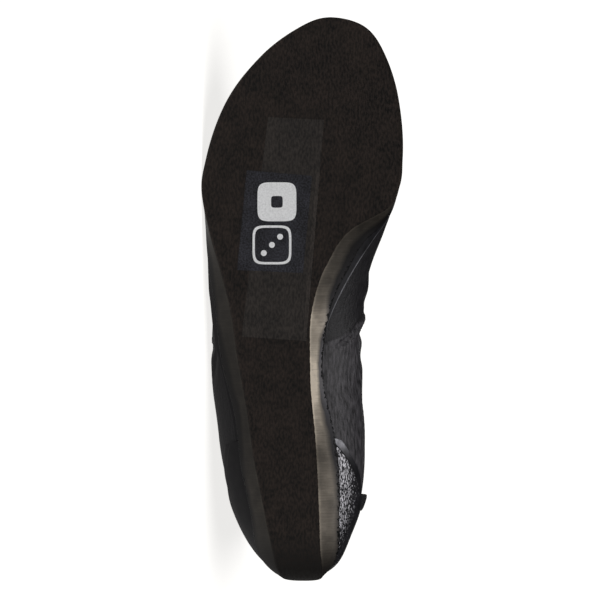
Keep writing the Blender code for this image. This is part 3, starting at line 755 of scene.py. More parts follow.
@dataclass(frozen=True)
class GroundRubber(SoleRubber):
    """Sole rubber ground to a bevel: tan with dust and a painted highlight near the tread, blue-grey in step
    with them and torn near the rim.
    """

    # Colour of the rubber dust and of the painted highlight on the bevel
    dust: str = "#d6c9b8"
    cool: str = "#4b4c54"
    torn: str = "#050506"
    line_gap: float = 0.667 * MM
    line_length: float = 8.33 * MM
    cloud_size: float = 6.67 * MM
    tear_size: float = 1.54 * MM
    depth: float = 0.05 * MM
    dull: float = 0.85

    def dress(self, tree: Tree, shader: bpy.types.Node) -> None:
        """Grinding lines across the bevel, dust and a painted highlight where the mesh says so, in soft
        patches, a painted highlight along the tread's edge, and a torn edge.

        Args:
            tree: The material's node tree.
            shader: Its Principled BSDF.
        """
        line = self.grain(tree, (self.line_gap, self.line_length, 1.0), mapped=True, detail=5.0)
        cloud = self.grain(tree, (self.cloud_size,) * 3, detail=8.0)
        ragged = self.grain(tree, (self.tear_size,) * 3, detail=5.0)
        across = self.mark(tree, "across")
        fade = self.heel_end_shade(tree)
        # Rubber dust with a painted highlight where the medial bevel faces the light, darkened towards the
        # heel's end as painted shade
        dust_and_sheen_share = self.join(tree, self.mark(tree, "dust"), fade, "MULTIPLY")
        past = self.join(tree, across, self.mark(tree, "reach"), "SUBTRACT")
        uneven = self.join(tree, past, self.span(tree, cloud, (0.3, 0.7), (-0.08, 0.08)))
        near = self.span(tree, uneven, (-0.14, 0.12), (1.0, 0.08))
        pale = self.join(tree, dust_and_sheen_share, self.span(tree, line, (0.3, 0.7), (0.80, 1.15)), "MULTIPLY")
        pale = self.join(tree, pale, self.span(tree, cloud, (0.3, 0.7), (0.65, 1.3)), "MULTIPLY")
        # Painted highlight: a thin bright line along the tread's edge
        pale = self.join(tree, pale, self.span(tree, across, (0.03, 0.12), (1.5, 1.0)), "MULTIPLY")
        # The outer band turns blue-grey in step with the dust and the painted highlight
        far = self.join(tree, dust_and_sheen_share, self.span(tree, across, (0.45, 0.9), (0.0, 1.3)), "MULTIPLY")
        base = self.mix(tree, far, self.colour, self.cool)
        dust_and_sheen_coat = self.mix(tree, self.join(tree, pale, near, "MULTIPLY"), base, self.dust)
        torn = self.join(tree, across, self.join(tree, self.mark(tree, "torn"), 0.06, "MULTIPLY"))
        frayed = self.join(tree, torn, self.span(tree, ragged, (0.35, 0.65), (-0.12, 0.08)))
        edge = self.span(tree, frayed, (0.955, 0.985), (0.0, 1.0))
        tree.links.new(self.span(tree, fade, (self.least, 1.0), (self.dull, self.roughness)),
                       shader.inputs["Roughness"])
        tree.links.new(self.mix(tree, edge, dust_and_sheen_coat, self.torn), shader.inputs["Base Color"])
        self.relief(tree, shader, self.join(tree, line, self.join(tree, edge, -1.5, "MULTIPLY")), self.depth)


@dataclass(frozen=True)
class RandRubber(Finish):
    """Thin rand rubber: smooth and slightly uneven, dull on the lateral side and darker there as painted
    shade, with pale bands and painted highlights, a painted shade line along the heel's lip, and torn to
    specks where sanding shows, with painted glints among them.
    """

    # Near-white specks: torn rubber where sanding shows, brightened as painted glints
    speck: str = "#f6f4fa"
    light: str = "#26252a"
    # Pale tone of the heel lip's band with its painted highlight, and of the painted highlight on the toe
    # rand's top edge
    rubbed: str = "#c6c5cc"
    shade: str = "#040405"
    speck_length: float = 1.36 * MM
    speck_width: float = 0.435 * MM
    cloud_length: float = 5.0 * MM
    cloud_width: float = 3.85 * MM
    depth: float = 0.35 * MM
    dull: float = 0.85

    def dress(self, tree: Tree, shader: bpy.types.Node) -> None:
        """Slow mottling, darker on the lateral side as painted shade, a pale tone with a painted highlight
        where rubbing shows, a painted shade line along the seam, and pale specks with painted glints where
        sanding shows.

        Args:
            tree: The material's node tree.
            shader: Its Principled BSDF.
        """
        cloud = self.grain(tree, (self.cloud_length, self.cloud_width, self.cloud_width), detail=6.0)
        speck = self.grain(tree, (self.speck_length, self.speck_width, self.speck_width))
        sanded, medial = self.mark(tree, "sanded"), self.mark(tree, "medial")
        # Pale specks where sanding shows: torn rubber, and in part painted glints
        raised = self.join(tree, speck, self.span(tree, sanded, (0.0, 1.0), (-0.14, 0.03)))
        torn = self.span(tree, raised, (0.505, 0.555), (0.0, 1.0))
        pale = self.join(tree, self.span(tree, sanded, (0.0, 0.5), (0.0, 1.0)), torn, "MULTIPLY")
        # Painted shade: on the lateral side the paler mottling is cut to a tenth, so that side stays dark
        side = self.span(tree, medial, (0.0, 1.0), (0.1, 1.0))
        lit = self.join(tree, self.span(tree, cloud, (0.3, 0.7), (0.0, 1.0)), side, "MULTIPLY")
        plain = self.mix(tree, lit, self.colour, self.light)
        patchy = self.span(tree, cloud, (0.35, 0.65), (0.4, 1.1))
        # Painted highlight: the pale tone on the front end of the heel lip, with some real rubbing there, and
        # on the toe rand's top edge in the medial waist
        worn = self.join(tree, self.mark(tree, "rubbed"), patchy, "MULTIPLY")
        speckled = self.mix(tree, pale, self.mix(tree, worn, plain, self.rubbed), self.speck)
        # Painted shade: a dark line where the heel rand's lip steps up from the rand
        seam_shaded = self.mix(tree, self.mark(tree, "seam"), speckled, self.shade)
        tree.links.new(seam_shaded, shader.inputs["Base Color"])
        rough = self.join(tree, self.span(tree, cloud, (0.3, 0.7), (0.0, 0.12)),
                          self.span(tree, medial, (0.0, 1.0), (self.dull, self.roughness)))
        tree.links.new(rough, shader.inputs["Roughness"])
        coarse = self.join(tree, speck, self.span(tree, sanded, (0.0, 1.0), (0.12, 1.0)), "MULTIPLY")
        self.relief(tree, shader, coarse, self.depth)


@dataclass(frozen=True)
class UpperLeather(Finish):
    """Dyed full-grain leather: rounded pebbles with fine wrinkles, paler on the medial side where it wears
    and where painted light falls, with the lateral side left dark as painted shade.
    """

    # Worn and quarter tones show on the medial side only: wear, with painted light on the side that faces the
    # lamp
    worn: str = "#2d2b2e"
    quarter: str = "#5b585c"
    tape: str = "#151517"
    pebble: float = 0.87 * MM
    fold_length: float = 4.35 * MM
    fold_width: float = 1.11 * MM
    rib: float = 0.7 * MM
    depth: float = 0.12 * MM
    tape_dull: float = 0.85
    side_dull: float = 0.9

    def dress(self, tree: Tree, shader: bpy.types.Node) -> None:
        """Pebbles and wrinkles in the leather; the binding tape at the collar is ribbed along its edge.

        Args:
            tree: The material's node tree.
            shader: Its Principled BSDF.
        """
        where = self.place(tree, (1.0 / self.pebble,) * 3, False)
        cell = add_node(tree, "ShaderNodeTexVoronoi", {"Vector": where, "Scale": 1.0}, feature="SMOOTH_F1")
        fold = self.grain(tree, (self.fold_length, self.fold_width, self.fold_width), detail=8.0)
        height = self.join(tree, self.span(tree, cell.outputs["Distance"], (0.0, 0.9), (1.0, 0.0)),
                           self.span(tree, fold, (0.3, 0.7), (0.0, 0.8)))
        tape, medial = self.mark(tree, "tape"), self.mark(tree, "medial")
        across = self.join(tree, self.mark(tree, "from_edge"), 2 * math.pi / self.rib, "MULTIPLY")
        ribs = self.span(tree, self.join(tree, across, 0.0, "SINE"), (-1.0, 1.0), (0.2, 1.2))
        # Painted light and shade: the paler worn tone follows the folds on the medial side only, and the
        # lateral side keeps the dark base as painted shade
        worn = self.join(tree, self.span(tree, fold, (0.30, 0.72), (0.0, 1.0)), medial, "MULTIPLY")
        high = self.mix(tree, self.mark(tree, "quarter"), self.worn, self.quarter)
        leather = self.mix(tree, worn, self.colour, high)
        tree.links.new(self.mix(tree, tape, leather, self.tape), shader.inputs["Base Color"])
        rough = self.join(tree, self.span(tree, tape, (0.0, 1.0), (self.roughness, self.tape_dull)),
                          self.span(tree, medial, (0.0, 1.0), (self.side_dull, self.roughness)), "MAXIMUM")
        tree.links.new(rough, shader.inputs["Roughness"])
        blend = add_node(tree, "ShaderNodeMix", {"Factor": tape, 2: height, 3: ribs}, data_type="FLOAT")
        self.relief(tree, shader, blend.outputs[0], self.depth)


@dataclass(frozen=True)
class Cloth(Finish):
    """Woven cloth: two crossed rows of threads, with a soft uneven nap."""

    thread: float = 0.6 * MM
    nap_size: float = 2.0 * MM
    light: str = "#6a6661"
    depth: float = 0.1 * MM

    def dress(self, tree: Tree, shader: bpy.types.Node) -> None:
        """Threads as the product of two sines of the piece's own map, with the nap over them.

        Args:
            tree: The material's node tree.
            shader: Its Principled BSDF.
        """
        count = 2 * math.pi / self.thread
        parts = add_node(tree, "ShaderNodeSeparateXYZ", {"Vector": self.place(tree, (count,) * 3, True)})
        rows = [self.join(tree, parts.outputs[axis], 0.0, "SINE") for axis in ("X", "Y")]
        weave = self.span(tree, self.join(tree, rows[0], rows[1], "MULTIPLY"), (-1.0, 1.0), (0.0, 1.0))
        height = self.join(tree, weave, self.grain(tree, (self.nap_size,) * 3))
        raised = self.span(tree, height, (0.5, 1.5), (0.0, 1.0))
        tree.links.new(self.mix(tree, raised, self.colour, self.light), shader.inputs["Base Color"])
        self.relief(tree, shader, height, self.depth)


@dataclass(frozen=True)
class PrintInk(Finish):
    """Screen-printed ink: an even coat with the sole's own fine tooth under it."""

    worn: str = "#d2d3d5"
    tooth_size: float = 0.714 * MM
    depth: float = 0.03 * MM

    def dress(self, tree: Tree, shader: bpy.types.Node) -> None:
        """Faint wear of the coat along the tooth.

        Args:
            tree: The material's node tree.
            shader: Its Principled BSDF.
        """
        tooth = self.grain(tree, (self.tooth_size,) * 3, detail=2.0)
        wear = self.span(tree, tooth, (0.35, 0.75), (0.0, 1.0))
        tree.links.new(self.mix(tree, wear, self.colour, self.worn), shader.inputs["Base Color"])
        self.relief(tree, shader, tooth, self.depth)


@dataclass(frozen=True)
class PlainFloor(Finish):
    """White light-table sheet: matt, and lit from below so that shadows on it stay faint."""

    glow: float = 0.88
    lamp: str = "#f6f5f3"

    def dress(self, tree: Tree, shader: bpy.types.Node) -> None:
        """An even colour with an even glow."""
        shader.inputs["Emission Color"].default_value = linear(self.lamp)
        shader.inputs["Emission Strength"].default_value = self.glow


TREAD = TreadRubber("moulded_sole_rubber", "#090706", 0.46, 0.19)
BEVEL = GroundRubber("ground_sole_rubber", "#0b0909", 0.48, 0.13)
RAND = RandRubber("rand_sheet_rubber", "#0f0e10", 0.42, 0.26)
LEATHER = UpperLeather("full_grain_leather", "#151416", 0.50, 0.3)
LINING = Cloth("cotton_lining", "#48453f", 0.9, 0.2)
WEBBING = Cloth("polyester_webbing", "#141416", 0.75, 0.3, thread=0.9 * MM, light="#2c2c30", depth=0.2 * MM)
THREAD = Cloth("polyester_thread", "#1c1c1e", 0.6, 0.4, thread=0.5 * MM, light="#3a3a3e", depth=0.05 * MM)
FILM = TreadRubber("rubber_transfer_film", "#101013", 0.50, 0.20, light="#33333a",
                   speck_length=0.769 * MM, speck_width=0.769 * MM)
TRACE = TreadRubber("pressed_sole_rubber", "#161312", 0.44, 0.25, light="#302b28")
TRACE_EDGE = TreadRubber("pressed_panel_edge", "#211d1b", 0.42, 0.25, light="#38322f")
INK = PrintInk("white_screen_ink", "#e9eaec", 0.55, 0.4)
FLOOR = PlainFloor("white_light_table_sheet", "#cfcecc", 0.95, 0.1)


@dataclass
class Grid:
    """A surface as rows of points, with its map in metres and the values that its material reads."""

    points: Array
    uv: Array
    finish: int = 0
    marks: dict[str, Array] = field(default_factory=dict)

    def corners(self, start: int) -> Array:
        """Point numbers of each quad, a row for each quad.

        Args:
            start: The number of the grid's first point.

        Returns:
            Four point numbers to a row.
        """
        rows, columns = self.points.shape[:2]
        number = start + np.arange(rows * columns).reshape(rows, columns)
        sides = (number[:-1, :-1], number[:-1, 1:], number[1:, 1:], number[1:, :-1])
        return np.stack([side.ravel() for side in sides], axis=-1)


def lengths_along(points: Array, axis: int) -> Array:
    """Distance run along a grid's rows or columns, from 0 at its first line.

    Args:
        points: The grid's points.
        axis: 0 to run down the columns, 1 to run along the rows.

    Returns:
        The distance at each point.
    """
    steps = np.linalg.norm(np.diff(points, axis=axis), axis=-1)
    start = np.zeros_like(np.take(steps, [0], axis=axis))
    return np.concatenate((start, np.cumsum(steps, axis=axis)), axis=axis)


def medial_share(points: Array) -> Array:
    """0 on the lateral side and 1 on the medial side, with a soft step 2 cm wide between them."""
    return ease(points[..., 1] / (20 * MM) + 0.5)


def measured_map(points: Array) -> Array:
    """A map in metres: the middle row's run along, and each column's run across.

    Args:
        points: The grid's points.

    Returns:
        Two map coordinates for each point.
    """
    run = lengths_along(points, 1)[len(points) // 2]
    climb = lengths_along(points, 0)
    return np.stack((np.broadcast_to(run, climb.shape), climb), axis=-1)


class Workshop:
    """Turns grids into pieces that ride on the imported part."""

    WELD = 0.002 * MM
    SHARP = 50.0 * DEG

    def __init__(self, placement: Placement) -> None:
        """Keeps the placement that lays each piece down."""
        self.placement = placement

    def piece(self, name: str, grids: Sequence[Grid], finishes: Sequence[Finish], slot: Slot,
              node: str | None = None) -> bpy.types.Object:
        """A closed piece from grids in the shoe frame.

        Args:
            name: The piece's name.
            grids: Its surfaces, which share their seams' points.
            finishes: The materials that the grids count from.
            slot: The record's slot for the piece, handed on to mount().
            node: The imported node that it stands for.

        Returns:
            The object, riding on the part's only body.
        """
        starts = np.cumsum([0] + [grid.points[..., 0].size for grid in grids])
        faces = np.concatenate([grid.corners(start) for grid, start in zip(grids, starts)])
        mesh = bpy.data.meshes.new(name)
        points = self.placement.lay(np.concatenate([grid.points.reshape(-1, 3) for grid in grids]))
        points[:, 2] = np.maximum(points[:, 2], 0.0)
        mesh.from_pydata(points, [], faces)
        uv = np.concatenate([grid.uv.reshape(-1, 2) for grid in grids])
        corners = uv[faces.ravel()].ravel().astype(np.float32)
        mesh.uv_layers.new(name="surface").data.foreach_set("uv", corners)
        kinds = np.concatenate([np.full(len(grid.corners(0)), grid.finish) for grid in grids])
        mesh.polygons.foreach_set("material_index", kinds.astype(np.int32))
        for mark in sorted({mark for grid in grids for mark in grid.marks}):
            values = [np.broadcast_to(grid.marks.get(mark, 0.0), grid.points.shape[:2]) for grid in grids]
            flat = np.concatenate([value.ravel() for value in values])
            mesh.attributes.new(mark, "FLOAT", "POINT").data.foreach_set("value", flat)
        for finish in finishes:
            mesh.materials.append(finish.material())
        self.close(mesh)
        return self.mount(bpy.data.objects.new(name, mesh), slot, node)

    def close(self, mesh: bpy.types.Mesh) -> None:
        """Welds the seams, drops what has collapsed there and turns the faces outwards.

        Args:
            mesh: The mesh, which is changed.
        """
        body = bmesh.new()
        body.from_mesh(mesh)
        bmesh.ops.remove_doubles(body, verts=body.verts, dist=self.WELD)
        bmesh.ops.dissolve_degenerate(body, edges=body.edges, dist=self.WELD)
        bmesh.ops.recalc_face_normals(body, faces=body.faces)
        if body.calc_volume(signed=True) < 0:
            bmesh.ops.reverse_faces(body, faces=body.faces)
        body.to_mesh(mesh)
        body.free()
        mesh.shade_smooth()
        mesh.set_sharp_from_angle(angle=self.SHARP)

    def mount(self, made: bpy.types.Object, slot: Slot, node: str | None) -> bpy.types.Object:
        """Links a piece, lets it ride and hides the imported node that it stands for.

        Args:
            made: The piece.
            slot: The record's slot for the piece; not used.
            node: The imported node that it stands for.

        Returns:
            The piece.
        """
        bpy.context.scene.collection.objects.link(made)
        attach(made, BODY)
        if node:
            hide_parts(node)
        log.info("%s: %d faces", made.name, len(made.data.polygons))
        return made


@dataclass
class Crease:
    """A soft fold in the leather along a path of turns and climbs: a trough with a ridge either side."""

    path: tuple[tuple[float, float], ...]
    width: float
    depth: float

    def height(self, form: ShoeForm, points: Array) -> Array:
        """Minus depth times (1 - 1.3 q) e to the -q, q the squared distance over width, faded at the ends.

        Args:
            form: The shoe's form, on which the path lies.
            points: Points of the upper's face.

        Returns:
            The fold's height at each point.
        """
        knots = np.array(self.path)
        at = np.linspace(0.0, len(knots) - 1.0, 24)
        steps = np.arange(len(knots), dtype=float)
        turn, climb = (np.interp(at, steps, knots[:, k]) for k in (0, 1))
        line = form.skin(turn, climb)
        found = np.full(points.shape[:2], 1e9)
        share = np.zeros(points.shape[:2])
        for k, (start, end) in enumerate(zip(line[:-1], line[1:])):
            run = end - start
            along = np.clip((points - start) @ run / (run @ run), 0.0, 1.0)
            gap = np.linalg.norm(points - start - along[..., None] * run, axis=-1)
            nearer = gap < found
            found = np.where(nearer, gap, found)
            share = np.where(nearer, (k + along) / (len(line) - 1), share)
        q = (found / self.width) ** 2
        fade = np.sin(math.pi * np.clip(share, 0.02, 0.98)) ** 0.7
        return -self.depth * (1 - 1.3 * q) * np.exp(-q) * fade


# Creases by side: the waist's seam folds, the quarters' draglines, the vamp's flex lines and the heel's folds
CREASES = (
    Crease(((79.0, 0.36), (82.0, 0.62), (86.0, 0.90), (88.0, 1.15)), 1.9 * MM, 1.5 * MM),
    Crease(((70.0, 0.75), (76.0, 0.95), (80.0, 1.30)), 3.2 * MM, 0.9 * MM),
    Crease(((58.0, 0.95), (66.0, 1.10), (73.0, 1.45)), 3.6 * MM, 0.6 * MM),
    Crease(((82.0, 0.85), (83.5, 1.15), (84.0, 1.45), (83.0, 1.70)), 5.5 * MM, 1.9 * MM),
    Crease(((81.0, 0.80), (79.5, 1.10), (78.0, 1.50)), 9.0 * MM, 1.4 * MM),
    Crease(((96.0, 0.80), (93.0, 1.00), (91.0, 1.25)), 4.5 * MM, -0.9 * MM),
    Crease(((-80.8, 0.55), (-77.0, 0.62), (-72.8, 0.75)), 2.4 * MM, 0.7 * MM),
    Crease(((-79.0, 0.50), (-80.0, 0.85), (-81.0, 1.15)), 4.0 * MM, 0.8 * MM),
    Crease(((-84.0, 1.15), (-78.0, 1.30), (-70.0, 1.38)), 3.0 * MM, 0.7 * MM),
    Crease(((100.0, 1.15), (103.0, 1.50), (104.0, 1.85)), 3.4 * MM, 0.9 * MM),
    Crease(((108.0, 1.25), (111.0, 1.60), (112.0, 2.00)), 3.0 * MM, 0.7 * MM),
    Crease(((-99.0, 1.20), (-103.0, 1.55), (-105.0, 1.90)), 3.4 * MM, 0.9 * MM),
    Crease(((-108.0, 1.30), (-112.0, 1.65), (-114.0, 2.00)), 3.0 * MM, 0.7 * MM),
    Crease(((118.0, 1.35), (121.0, 1.70), (122.0, 2.00)), 2.8 * MM, 0.5 * MM),
    Crease(((-118.0, 1.40), (-122.0, 1.75), (-124.0, 2.00)), 2.8 * MM, 0.5 * MM),
    Crease(((22.0, 1.55), (30.0, 1.45), (40.0, 1.50)), 3.0 * MM, 0.6 * MM),
    Crease(((-20.0, 1.60), (-30.0, 1.48), (-42.0, 1.52)), 3.0 * MM, 0.6 * MM),
)


@dataclass
class Upper:
    """Leather upper: a folded-edge quarter lapped over the vamp, a taped collar and a lined inside."""

    form: ShoeForm
    column_step: float = 0.5
    margin_rows: int = 5
    low_rows: int = 36
    high_rows: int = 50
    lining_rows: int = 26
    roll_rows: int = 9
    tape_width: float = 6.0 * MM
    tape_rise: float = 0.7 * MM
    tape_edge: float = 0.8 * MM
    lap_rise: float = 0.55 * MM
    lap_edge: float = 0.9 * MM
    seam_heights: tuple[float, ...] = (0 * MM, 8 * MM, 20 * MM, 32 * MM, 60 * MM, 84 * MM)
    seam_places: tuple[float, ...] = (103 * MM, 106 * MM, 112.5 * MM, 117.5 * MM, 117 * MM, 106 * MM)
    lateral_shift: float = -4 * MM

    def __post_init__(self) -> None:
        """Reads the collar's edge once, as the line that the tape follows."""
        turn = np.linspace(-self.form.throat_turn, self.form.throat_turn, 401)
        self.edge_line = self.form.collar_edge(turn)[0]

    @property
    def turns(self) -> Array:
        """Columns all the way round, the first one repeated at the end."""
        return np.arange(-180.0, 180.0 + self.column_step / 2, self.column_step)

    def from_edge(self, points: Array) -> Array:
        """Distance from the collar's edge, the shortest to its line's points.

        Args:
            points: A grid's points.

        Returns:
            The distance of each.
        """
        flat = points.reshape(-1, 3)
        best = np.full(len(flat), 1e9)
        for part in np.array_split(self.edge_line, 20):
            gaps = np.linalg.norm(flat[:, None, :] - part[None, :, :], axis=-1)
            best = np.minimum(best, gaps.min(axis=1))
        return best.reshape(points.shape[:2])

    def past_seam(self, points: Array) -> Array:
        """How far points lie behind the quarter's front edge, which leans with height.

        Args:
            points: Points of the upper.

        Returns:
            Their distances, negative in front of the edge.
        """
        heights, places = np.array(self.seam_heights), np.array(self.seam_places)
        x = smooth(heights, places, np.clip(points[..., 2], heights[0], heights[-1]))
        return x + np.where(points[..., 1] < 0, self.lateral_shift, 0.0) - points[..., 0]

    def detail(self, points: Array) -> Array:
        """Height of the lap, the tape and the creases over the plain form.

        Args:
            points: Points of the plain form.

        Returns:
            The height at each.
        """
        lap = self.lap_rise * ease(self.past_seam(points) / self.lap_edge + 0.5)
        tape = self.tape_rise * ease((self.tape_width - self.from_edge(points)) / self.tape_edge + 0.5)
        folds = sum(crease.height(self.form, points) for crease in CREASES)
        return lap + tape + folds

    def outside(self, turn: Array, climb: Array) -> Array:
        """The outer face with its details."""
        plain = self.form.skin(turn, climb)
        return plain + self.form.outward(turn, climb) * self.detail(plain)[..., None]

    def build(self, workshop: Workshop) -> bpy.types.Object:
        """The upper as one closed wall: outer face, lining, the collar's roll and the margin's edge.

        Args:
            workshop: Makes the piece.

        Returns:
            The piece.
        """
        form, turn = self.form, self.turns
        climb = np.concatenate((
            np.linspace(-1.0, 0.0, self.margin_rows)[:-1],
            np.linspace(0.0, 1.0, self.low_rows)[:-1],
            np.linspace(1.0, 2.0, self.high_rows),
        ))
        outer = self.outside(turn[None, :], climb[:, None])
        edge = self.from_edge(outer)
        tape = ease((self.tape_width - edge) / (0.5 * MM) + 0.5)
        quarter = ease(self.past_seam(outer) / MM + 0.5)
        marks = {"tape": tape, "from_edge": edge, "quarter": quarter, "medial": medial_share(outer)}
        down = np.concatenate((np.linspace(2.0, 0.0, self.lining_rows), [-1.0]))
        inner = form.offset(turn[None, :], down[:, None], -form.upper_wall)
        around = np.abs(turn) <= form.throat_turn
        roll = self.roll(turn[around], outer[-1, around], inner[0, around])
        foot = np.stack((inner[-1], outer[0]))
        grids = [
            Grid(outer, measured_map(outer), 0, marks),
            Grid(roll, measured_map(roll), 0, {"tape": 1.0, "from_edge": lengths_along(roll, 0)}),
            Grid(inner, measured_map(inner), 1),
            Grid(foot, measured_map(foot), 1),
        ]
        return workshop.piece("upper_shell", grids, (LEATHER, LINING), Slot.LEATHER, "upper")

    def roll(self, turn: Array, outer: Array, inner: Array) -> Array:
        """The tape's roll over the collar's edge: half an ellipse from the outer to the inner line.

        Args:
            turn: The columns round the collar.
            outer: The outer face's last row.
            inner: The lining's first row.

        Returns:
            The roll's points.
        """
        middle, half = (outer + inner) / 2, (outer - inner) / 2
        rise = self.form.collar_edge(turn)[1] * np.linalg.norm(half, axis=-1, keepdims=True)
        angle = np.linspace(0.0, math.pi, self.roll_rows)[:, None, None]
        return middle + half * np.cos(angle) + rise * np.sin(angle)


@dataclass
class Outsole:
    """Flat sheet-rubber sole whose edge is ground to a bevel up to the top of its rim."""

    form: ShoeForm
    column_step: float = 0.5
    across_rows: int = 48
    bevel_rows: int = 12
    wall_rows: int = 10
    corner: float = 0.6 * MM
    lip: float = 0.35 * MM
    rand_foot: float = 0.14
    edge_wobble: float = 0.12 * MM
    wobble_pitch: float = 17 * MM
    corner_rows: int = 6
    floor_rows: int = 12
    torn_places: tuple[Pair, ...] = ((36.0, 16.0), (84.0, 7.0))

    def build(self, workshop: Workshop) -> bpy.types.Object:
        """Tread, rounded corner, bevel, rim and the tray inside, sharing their rings.

        Args:
            workshop: Makes the piece.

        Returns:
            The piece.
        """
        form = self.form
        turn = np.arange(-180.0, 180.0 + self.column_step / 2, self.column_step)
        x, y = form.plan_line("tread", turn)
        tread = np.stack((x, y, form.tread_height(x)), axis=-1)
        rim_climb = form.climb_to(turn, form.rim_top(turn))
        inside = form.rand_outside + form.gap
        rim = form.offset(turn, rim_climb, inside + form.rim_thickness)
        inner_rim = form.offset(turn, rim_climb, inside)
        inward = unit(np.stack((np.zeros_like(x), y[::-1] - y, np.zeros_like(x)), axis=-1))
        up_bevel = unit(rim - tread)
        uneven = wobble(lengths_along(tread[None], 1)[0], self.wobble_pitch, 1.0)[:, None] * self.edge_wobble
        start = tread + inward * (self.corner + uneven)
        start[:, 2] = form.tread_height(start[:, 0])
        after = tread + up_bevel * self.corner
        t = np.linspace(0.0, 1.0, self.corner_rows)[:, None, None]
        corner = start * (1 - t) ** 2 + 2 * tread * t * (1 - t) + after * t ** 2
        before = rim - up_bevel * self.lip
        over = rim + unit(inner_rim - rim) * self.lip
        s = np.linspace(0.0, 1.0, self.bevel_rows)[:, None, None]
        bevel = after * (1 - s) + before * s
        lip = before * (1 - t) ** 2 + 2 * rim * t * (1 - t) + over * t ** 2
        walls = [over, inner_rim]
        foot = self.rand_foot
        walls += [form.offset(turn, foot + (rim_climb - foot) * share, inside)
                  for share in np.linspace(0.9, 0.0, self.wall_rows)]
        walls.append(form.offset(turn, foot / 3, inside))
        walls += [form.offset(turn, climb, form.gap) for climb in (foot / 3, -0.4, -1.0)]
        tray = np.stack(walls)
        half = len(turn) // 2
        ends = start[half:], start[half::-1]
        v = np.linspace(0.0, 1.0, self.across_rows)[:, None, None]
        flat = ends[0] * v + ends[1] * (1 - v)
        flat[..., 2] = form.tread_height(flat[..., 0])
        floor_ends = tray[-1, half:], tray[-1, half::-1]
        w = np.linspace(0.0, 1.0, self.floor_rows)[:, None, None]
        floor = floor_ends[0] * w + floor_ends[1] * (1 - w)
        rounded = corner[2:-1]
        ground = np.concatenate((rounded, bevel, lip[1:]))
        # Rubber dust and a painted highlight, most on the bevel of the medial arch
        dust = DUST_AND_SHEEN.around("lateral", "medial", turn)
        reach = DUST_AND_SHEEN.around("reach", "reach", turn)
        torn = sum(bump_at(turn - middle, width) for middle, width in self.torn_places)
        climb = lengths_along(ground, 0)
        across = climb / climb[len(rounded) + self.bevel_rows - 1]
        ground_map = np.stack((ground[..., 0], climb), axis=-1)
        marks = {"dust": dust[None], "reach": reach[None], "torn": torn[None], "across": across}
        edge = corner[:3]
        grids = [
            Grid(flat, flat[..., :2].copy(), 0),
            Grid(edge, edge[..., :2].copy(), 0),
            Grid(ground, ground_map, 1, marks),
            Grid(tray, measured_map(tray), 0),
            Grid(floor, floor[..., :2].copy(), 0),
        ]
        return workshop.piece("sole", grids, (TREAD, BEVEL), Slot.SOLE, "outsole")


